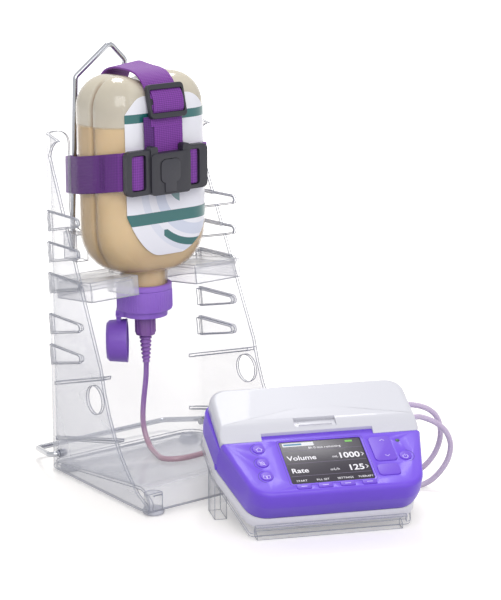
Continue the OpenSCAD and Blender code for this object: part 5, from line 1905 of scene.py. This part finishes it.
@dataclass
class PumpBody:
    """The pump's violet front shell, white rear shell, feet contacts and inside."""

    shell: float = 2.2
    display: Quad = (0.0, 32.3, 56.7, 42.5)
    keys: tuple[Point, ...] = ((-43, 47.8), (-43.4, 33.8), (-43.5, 20.4), (54.8, 31))
    blocks: tuple[Quad, ...] = (
        (41, 39.5, 15.5, 24.5), (39.8, 18.5, 15.2, 11))
    light: Point = (53.5, 47.0)

    def front(self, rig: Rig) -> None:
        """The front shell, lofted from its seam to its rounded face and then opened."""
        s0, radius = SEAM + 0.8, 3.0
        rings = [raised(outline(body_ring(7.5), -0.5 + 0.25 * k), s0 + 0.5 * k, PUMP)
                 for k in range(3)]
        for k in range(1, 11):
            t = k / 10
            rings.append(raised(outline(body_ring(7.5 - 5.5 * t), math.sin(math.pi * t) * 0.35),
                                s0 + 1 + (WAIST - s0 - 1) * t, PUMP))
        rings.append(raised(outline(body_ring(2.0)), DECK, PUMP))
        for k in range(7):
            a = math.radians(90 * k / 6)
            rings.append(raised(outline(body_ring(2.0), -radius * (1 - math.cos(a))),
                                FACE - radius + radius * math.sin(a), PUMP))
        made = Form().skin(rings).build("pump_front_look", [VIOLET], 30.0)
        edge, half, deep = DOOR_U - 0.2, NOTCH_W - 0.2, NOTCH_U - 0.2
        step = Form().prism(PUMP, [(-90, edge), (-half, edge), (-half, deep), (half, deep),
                                   (half, edge), (90, edge), (90, 130), (-90, 130)],
                            DECK, FACE + 5)
        hollow = Form().prism(PUMP, outline(body_ring(7.5), -self.shell), s0 - 1,
                              DECK - self.shell)
        face = Form().box(PUMP, (-56, 62), (12, DOOR_U - 2), (DECK - 4, FACE - self.shell))
        x, u, w, h = self.display
        openings = Form().prism(PUMP, about(x, u, w + 0.3, h + 0.3, 1.5), s0, FACE + 1)
        for p in self.keys:
            openings.lathe(PUMP, [(4.28, s0), (4.28, FACE + 1)], 40, centre=p)
        for x in SOFT_X:
            openings.prism(PUMP, about(x, SOFT_U, 10.15, 4.15, 1.2), WAIST + self.shell, FACE + 1)
        for x, u, w, h in self.blocks:
            openings.prism(PUMP, about(x, u, w + 0.15, h + 0.15, 3), s0, FACE + 1)
        openings.lathe(PUMP, [(1.62, s0), (1.62, FACE + 1)], 24, centre=self.light)
        trough = Form().box(PUMP, (-120, 120), (TROUGH_U, LENGTH + 5), (TROUGH_N, DECK + 1))
        bay = Form().box(PUMP, (BAY[0], BAY[1]), (BAY[2], BAY[3]), (24, DECK + 1))
        ports = [Form().box(PUMP, (BAY[1] - 1, BAY[1] + 20), (u - 2.2, u + 2.2), (28.5, DECK + 1))
                 for u in PORTS]
        for form in (hollow, face, step, trough, openings):
            cut(made, form)
        walls = Form().box(PUMP, (BAY[0] - self.shell, BAY[1] + self.shell),
                           (BAY[2] - self.shell, BAY[3] + self.shell), (24 - self.shell, DECK - 1))
        shelf = Form().prism(PUMP, [
            (max(-62, min(67, a)), b) for a, b in outline(body_ring(2.0), -1.2)
            if b > TROUGH_U - 3], TROUGH_N - self.shell, TROUGH_N)
        lugs = Form()
        side = Place(PUMP.origin, PUMP.y, PUMP.z, PUMP.x)
        for s in (-1, 1):
            shape = [(HINGE_U - 3.4, TROUGH_N - 1), (HINGE_U + 3.4, TROUGH_N - 1)]
            shape += arc(HINGE_U, HINGE_N, 3.4, 0, 180, 12)
            lugs.prism(side, shape, s * HINGE_X - 4, s * HINGE_X + 4)
        for form in (walls, shelf, lugs):
            cut(made, form, join=True)
        for form in (bay, *ports, hinge_pin(60)):
            cut(made, form)
        tidy(made.data)
        softened(made, 0.28, [VIOLET], 2, 38.0)
        rig.place(made, "set", "pump_front_shell", ["pump_front_shell"])

    def marks(self, rig: Rig, photo: Photo, carrier: bpy.types.Object) -> None:
        """Crescent lines of painted shade beside the keys, a dark line round the display and the
        flank's stud.
        """
        lines = Form()
        # painted shade: a dark crescent on one side of each round key, where the gap round it falls
        # in shade
        for (x, u), start in zip(self.keys, (105, 105, 105, -75)):
            lines.stroke(PUMP, arc(x, u, 5.9, start, start + 150, 14), 0.42, FACE - 0.05,
                         FACE + 0.06)
        x, u, w, h = self.display
        lines.stroke(PUMP, about(x, u, w + 3.2, h + 3.2, 2.6), 0.30, FACE - 0.05, FACE + 0.04,
                     closed=True)
        rig.place(lines.build("face_lines", [DARK_LINE], 40.0), "set", "pump_front_shell")
        spot, normal = photo.on(photo.points["side_stud"], carrier)
        out = normal.normalized()
        x_axis = out.cross(PUMP.z).normalized()
        place = Place(spot / MM, x_axis, out.cross(x_axis).normalized(), out)
        form = Form().lathe(place, [(0, -0.4), (2.1, -0.4), (2.1, 0.35), (1.7, 0.75), (0, 0.85)],
                            28)
        rig.place(form.build("side_stud", [VIOLET_KEY], 40.0), "set", "pump_front_shell")

    def rear(self, rig: Rig) -> None:
        """The white rear shell and what it holds."""
        # the rear shell takes the lighter white, painted light for the floor's bounce
        rig.carried("pump_rear_shell", [REAR_WHITE_LIFTED], "pump_rear_shell", 0.9, segments=3, angle=40.0)
        for node, slot in (("shell_gasket", "shell_gasket"), ("circuit_board", "circuit_board"),
                           ("battery", "battery"), ("drive_motor", "steel"),
                           ("shell_screws", "steel"), ("charge_contacts", "charge_contacts"),
                           ("tube_cassette", "tube_cassette"), ("pump_segment", "pump_segment"),
                           ("pump_rotor", "pump_rotor"), ("rotor_rollers", "rollers"),
                           ("door_hinge_pins", "steel")):
            rig.carried(node, [KEPT[node]], slot, 0.15)

    def build(self, rig: Rig, photo: Photo) -> None:
        """Makes the sub-assembly."""
        self.front(rig)
        self.marks(rig, photo, rig.pieces["pump_front_look"])
        self.rear(rig)


# the crescents beside the keys in this colour are painted shade; the line round the display is a
# plain dark line
DARK_LINE = Moulded("dark_print", (84, 62, 168), 0.5, 0.02)
PALE_INK = Moulded("pale_print", (214, 202, 248), 0.5, 0.02)
GREEN_LENS = Lit("green_lens", (96, 150, 130), 0.35)
SCREEN = Lit("screen_ground", (44, 34, 54), 0.7)
SCREEN_BAR = Lit("screen_bar", (238, 240, 246), 0.95)
SCREEN_WHITE = Lit("screen_white", (250, 248, 255), 1.0)
SCREEN_GREY = Lit("screen_grey", (120, 108, 140), 0.8)
SCREEN_GREEN = Lit("screen_green", (120, 205, 80), 0.95)
SCREEN_TEAL = Lit("screen_teal", (70, 140, 175), 0.9)
GLASS = Moulded("screen_glass", (40, 30, 52), 0.12, 0.01, 4.0, 0.05, coat=0.6)


class Mark(Enum):
    """The plain pictures on and beside the keys."""

    HOUSE = "house"
    BELL = "bell"
    BOOK = "book"
    POWER = "power"


@dataclass
class Keys:
    """The keys, each riding on its own body, and the printed pictures on them."""

    names: tuple[str, ...] = ("key_home", "key_mute", "key_info", "key_power", "key_rocker",
                              "key_enter", "soft_key_1", "soft_key_2", "soft_key_3", "soft_key_4")
    top: float = 40.0
    pictures: tuple[tuple[str, str, Mark], ...] = (
        ("mark_house", "key_home", Mark.HOUSE), ("mark_bell", "key_mute", Mark.BELL),
        ("mark_book", "key_info", Mark.BOOK), ("mark_power", "key_power", Mark.POWER))

    def print_on(self, form: Form, points: Sequence[Point], width: float = 0.42,
                 closed: bool = False) -> None:
        """Adds a printed stroke on the keys' tops."""
        form.stroke(PUMP, points, width, self.top - 0.04, self.top + 0.05, closed)

    def picture(self, mark: Mark, x: float, u: float) -> Form:
        """Draws one picture about a point of the pump's face."""
        form = Form()

        def line(points: Sequence[Point], closed: bool = False) -> None:
            """One stroke about the middle."""
            self.print_on(form, [(x + a, u + b) for a, b in points], closed=closed)

        if mark is Mark.HOUSE:
            line([(-2.2, -0.1), (0, 1.9), (2.2, -0.1)])
            line([(-1.5, 0.3), (-1.5, -1.8), (1.5, -1.8), (1.5, 0.3)])
        elif mark is Mark.BELL:
            line([(-1.7, -1.2), (-1.2, -0.4), (-1.1, 0.8), (0, 1.9), (1.1, 0.8), (1.2, -0.4),
                  (1.7, -1.2)], True)
            line([(-2.1, 2.0), (2.1, -1.9)])
        elif mark is Mark.BOOK:
            line([(-2.2, 1.4), (-0.2, 1.0), (-0.2, -1.7), (-2.2, -1.3)], True)
            line([(2.2, 1.4), (0.2, 1.0), (0.2, -1.7), (2.2, -1.3)], True)
        else:
            line(arc(0, 0, 1.75, 125, 415, 18))
            line([(0, 0.4), (0, 2.3)])
        return form

    def build(self, rig: Rig, photo: Photo) -> None:
        """Makes the keys and their pictures."""
        for name in self.names:
            slot = "power_key" if name == "key_power" else "keys"
            made = softened(rig.copy(name), 0.42, [VIOLET_KEY], 3, 30.0)
            rig.place(made, name + "_body", slot, [name])
        for name, key, mark in self.pictures:
            spot, _ = photo.on(photo.points[name], rig.pieces[key + "_look"])
            here = PUMP.inside(spot)
            made = self.picture(mark, here.x, here.y).build(name, [PALE_INK], 40.0)
            rig.place(made, key + "_body", "keys")
        for i, x in enumerate(SOFT_X):
            bar = Form()
            self.print_on(bar, [(x - 2.0, SOFT_U), (x + 2.0, SOFT_U)], 0.5)
            rig.place(bar.build(f"soft_bar_{i + 1}", [PALE_INK], 40.0), f"soft_key_{i + 1}_body",
                      "keys")
        chevrons = Form()
        for foot, head in ((47.2, 48.6), (32.8, 31.4)):
            self.print_on(chevrons, [(40.9, foot), (42.5, head), (44.1, foot)])
        rig.place(chevrons.build("rocker_arrows", [PALE_INK], 40.0), "key_rocker_body", "keys")
        lens = softened(rig.copy("status_light", "status_light_look"), 0.4, [GREEN_LENS], 3)
        rig.place(lens, "set", "status_light", ["status_light"])


@dataclass
class Screen:
    """The lit display: a title bar, two values and a row of soft key names."""

    z: float = 39.2

    def build(self, rig: Rig, photo: Photo) -> None:
        """Makes the window and what it shows."""
        made = softened(rig.copy("display_window", "screen"), 0.25, [SCREEN], 2)
        rig.place(made, "set", "display_window", ["display_window"])
        spot, _ = photo.on(photo.points["screen"], made)
        here = PUMP.inside(spot)
        LOG.info("the screen's middle is %.1f, %.1f on the pump", here.x, here.y)
        rig.carried("display_module", [KEPT["circuit_board"]], "display_module", 0.2)
        z = self.z
        for name, finish, boxes in (
                ("screen_title", SCREEN_BAR, [(-26.2, -4.6, 48.6, 52.2)]),
                ("screen_battery", SCREEN_GREEN, [(17.4, 22.4, 49.6, 51.4)]),
                ("screen_rules", SCREEN_GREY, [(-27.4, 27.4, 31.3, 31.6), (-27.4, 27.4, 43.9, 44.2),
                                               (-27.4, 27.4, 18.6, 18.9)]),
                ("screen_title_mark", SCREEN_TEAL, [(-25.4, -13.0, 49.6, 51.3)])):
            form = Form()
            for i, (x0, x1, u0, u1) in enumerate(boxes):
                high = 0.06 if finish is SCREEN_TEAL else 0.03
                form.prism(PUMP, rounded(x0, x1, u0, u1, min(0.14, (u1 - u0) / 3)), z - 0.02,
                           z + high)
            rig.place(form.build(name, [finish], 40.0), "set", "display_window")
        texts = (
            ("screen_volume", "Volume", -26.0, 34.6, 6.4, "LEFT", 0.09),
            ("screen_volume_unit", "mL", 4.9, 34.8, 3.2, "LEFT", 0.0),
            ("screen_volume_value", "1000", 24.2, 33.9, 7.6, "RIGHT", 0.16),
            ("screen_rate", "Rate", -26.0, 22.0, 6.4, "LEFT", 0.09),
            ("screen_rate_unit", "mL/h", 0.5, 22.2, 3.2, "LEFT", 0.0),
            ("screen_rate_value", "125", 24.2, 21.2, 7.6, "RIGHT", 0.16),
            ("screen_time", "8h 0 min remaining", 2.0, 45.4, 2.9, "CENTER", 0.0),
            ("screen_name_1", "START", -21.2, 13.2, 2.5, "CENTER", 0.0),
            ("screen_name_2", "FILL SET", -6.8, 13.2, 2.5, "CENTER", 0.0),
            ("screen_name_3", "SETTINGS", 8.6, 13.2, 2.5, "CENTER", 0.0),
            ("screen_name_4", "THERAPY", 22.6, 13.2, 2.5, "CENTER", 0.0))
        for name, text, x, u, size, align, bold in texts:
            rig.place(lettering(text, PUMP, x, u, z + 0.03, size, SCREEN_WHITE, name, align, bold),
                      "set", "display_window")
        arrows = Form()
        for u in (36.6, 23.8):
            arrows.stroke(PUMP, [(25.3, u - 1.6), (26.8, u), (25.3, u + 1.6)], 0.55, z - 0.02,
                          z + 0.04)
        rig.place(arrows.build("screen_arrows", [SCREEN_WHITE], 40.0), "set", "display_window")


@dataclass
class Door:
    """The white door over the tube bay, with its sliding latch."""

    low: float = 33.8
    high: float = 44.5
    shell: float = 2.2
    latch: Quad = (29.0, 63.5, 6.0, 41.0)

    def door(self, rig: Rig) -> None:
        """The crowned door, hollow underneath and notched round the display."""
        rings = [raised(outline(door_ring(DOOR_U), grow), n, PUMP) for n, grow in (
            (self.low, -0.5), (self.low + 0.25, -0.15), (self.low + 0.6, 0.0), (38.0, 0.0))]
        low, high = FACE + 0.2, self.high
        for k in range(13):
            t = k / 12
            # the front rises in a flat slope to the crease, the sides round over
            front = DOOR_U + (CREASE_U - DOOR_U) * t
            a = math.asin(min(1.0, t * 0.985))
            grow = -3.0 * (1 - math.cos(a)) - 0.35 * t ** 6
            rings.append(raised(outline(door_ring(front), grow), low + (high - low) * t, PUMP))
        last = outline(door_ring(CREASE_U), -3.35)
        rings += [[PUMP.at(2.5 + (x - 2.5) * s, 85 + (y - 85) * s, high) for x, y in last]
                  for s in (0.97, 0.9, 0.75, 0.5, 0.2)]
        made = Form().skin(rings).build("door_look", [WHITE], 30.0)
        under = Form().prism(PUMP, outline(door_ring(DOOR_U), -self.shell), self.low - 1,
                             FACE - self.shell)
        keep = Form().box(PUMP, (-60, 60), (HINGE_U - 5, LENGTH + 5), (0, 100))
        keep.box(PUMP, (-NOTCH_W - self.shell, NOTCH_W + self.shell), (0, NOTCH_U + self.shell),
                 (0, 99))
        helper = under.build("door_hollow", [])
        cut(helper, keep)
        modifier = made.modifiers.new("cut", "BOOLEAN")
        modifier.operation, modifier.solver, modifier.object = "DIFFERENCE", "EXACT", helper
        baked(made)
        bpy.data.objects.remove(helper)
        notch = Form().box(PUMP, (-NOTCH_W, NOTCH_W), (0, NOTCH_U), (0, 100))
        slots = Form()
        for s in (-1, 1):
            slots.box(PUMP, (s * HINGE_X - 4.5, s * HINGE_X + 4.5), (HINGE_U - 6, LENGTH + 5),
                      (0, HINGE_N + 4))
        w, u, run, n = self.latch
        seat = Form().box(PUMP, (-w / 2 - 0.15, w / 2 + 0.15), (u - 0.15, u + run + 2.15),
                          (n - 0.15, 100))
        gates = [Form().box(PUMP, (BAY[1], BODY_RIGHT + 5), (port - 3, port + 3), (0, 34.65))
                 for port in PORTS]
        for form in (notch, slots, hinge_pin(HINGE_X + 12), seat, *gates):
            cut(made, form)
        tidy(made.data)
        softened(made, 0.4, [WHITE], 2, 42.0)
        rig.place(made, "door", "pump_door", ["pump_door"])

    def catch(self, rig: Rig) -> None:
        """The latch with grip ribs."""
        made = softened(rig.copy("door_latch", "door_latch_look"), 0.45, [WHITE], 3)
        rig.place(made, "latch", "door_latch", ["door_latch"])

    def build(self, rig: Rig) -> None:
        """Makes the sub-assembly."""
        self.door(rig)
        self.catch(rig)


@dataclass
class Tray:
    """The clear tray that the pump stands in."""

    plate: float = 2.8

    def build(self, rig: Rig) -> None:
        """Makes the tray from its CAD shape with firmer rims."""
        rig.carried("pump_tray", [TRAY_FACE, TRAY_EDGE], "clear_tray", 0.4, self.plate + 0.6)
        rig.outlined("pump_tray", 0.22, TRAY_LINE)


# ---------------------------------------------------------------- the room


def room() -> None:
    """A pale floor that is white to the camera but keeps the shadow, a plain world and a lamp."""
    world = bpy.data.worlds.new("plain")
    bpy.context.scene.world = world
    world.use_nodes = True
    tree = world.node_tree
    tree.nodes.clear()
    rays = add_node(tree, "ShaderNodeLightPath")

    def either(a: Any, b: Any) -> Any:
        """The larger of two ray flags."""
        return add_node(tree, "ShaderNodeMath", {"operation": "MAXIMUM"}, {0: a, 1: b}).outputs[0]

    shown = either(either(rays.outputs["Is Camera Ray"], rays.outputs["Is Glossy Ray"]),
                   rays.outputs["Is Transmission Ray"])
    plain, white = (add_node(tree, "ShaderNodeBackground", None, {0: colour, 1: strength})
                    for colour, strength in (((0.97, 0.97, 1.0, 1), 0.60), ((1, 1, 1, 1), 1.0)))
    mix = add_node(tree, "ShaderNodeMixShader", None,
                   {0: shown, 1: plain.outputs[0], 2: white.outputs[0]})
    add_node(tree, "ShaderNodeOutputWorld", None, {0: mix.outputs[0]})

    for name, spot, size, power in (("soft_key", (0.45, 0.75, 1.5), 0.6, 10.5),
                                    ("soft_fill", (-0.9, -1.7, 1.6), 1.6, 28.0)):
        data = bpy.data.lights.new(name, "AREA")
        data.size, data.energy = size, power
        lamp = linked(name, data)
        lamp.location = spot
        ahead = Vector((0, 0, 0.1)) - Vector(spot)
        lamp.rotation_mode = "QUATERNION"
        lamp.rotation_quaternion = ahead.to_track_quat("-Z", "Y")

    mesh = bpy.data.meshes.new("floor")
    mesh.from_pydata([(-4, -4, 0), (4, -4, 0), (4, 4, 0), (-4, 4, 0)], [], [(0, 1, 2, 3)])
    floor = linked("floor", mesh)
    g = Graph("floor_white")
    rays = g.node("ShaderNodeLightPath")
    base = g.node("ShaderNodeBsdfDiffuse", None, {"Color": srgb(253, 250, 245)})
    bounce = g.node("ShaderNodeBsdfDiffuse", None, {"Color": srgb(190, 190, 197)})
    near = g.node("ShaderNodeVectorMath", {"operation": "LENGTH"},
                  {0: g.node("ShaderNodeNewGeometry").outputs["Position"]})
    far = Value(g, near.outputs["Value"]).step(0.25, 0.9)
    glow = g.node("ShaderNodeEmission", None,
                  {"Color": (1, 1, 1, 1), "Strength": far * 0.7 + 0.25})
    both = g.node("ShaderNodeAddShader", None, {0: base.outputs[0], 1: glow.outputs[0]})
    seen = Value(g, rays.outputs["Is Camera Ray"]) + Value(g, rays.outputs["Is Glossy Ray"])
    mixed = g.node("ShaderNodeMixShader", None,
                   {0: seen.clamp(), 1: bounce.outputs[0], 2: both.outputs[0]})
    g.tree.links.new(mixed.outputs[0], g.out.inputs[0])
    mesh.materials.append(g.material)
    floor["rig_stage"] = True


def main() -> None:
    """Builds every sub-assembly in order and works out where the named things show."""
    logging.basicConfig(level=logging.INFO, format="%(message)s")
    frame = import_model()
    bpy.context.scene.view_settings.view_transform = "Standard"
    rig, photo = Rig(frame), Photo()
    photo.camera()
    Tubes().build(rig)
    room()
    Stand().build(rig)
    Bottle().build(rig)
    Harness().build(rig, photo)
    Spout().build(rig)
    for part in (PumpBody(), Keys(), Screen()):
        part.build(rig, photo)
    Door().build(rig)
    Tray().build(rig)
    bpy.context.view_layer.update()
    photo.report(("feed_tube_look", "patient_tube_look"))


if __name__ == "__main__":
    main()
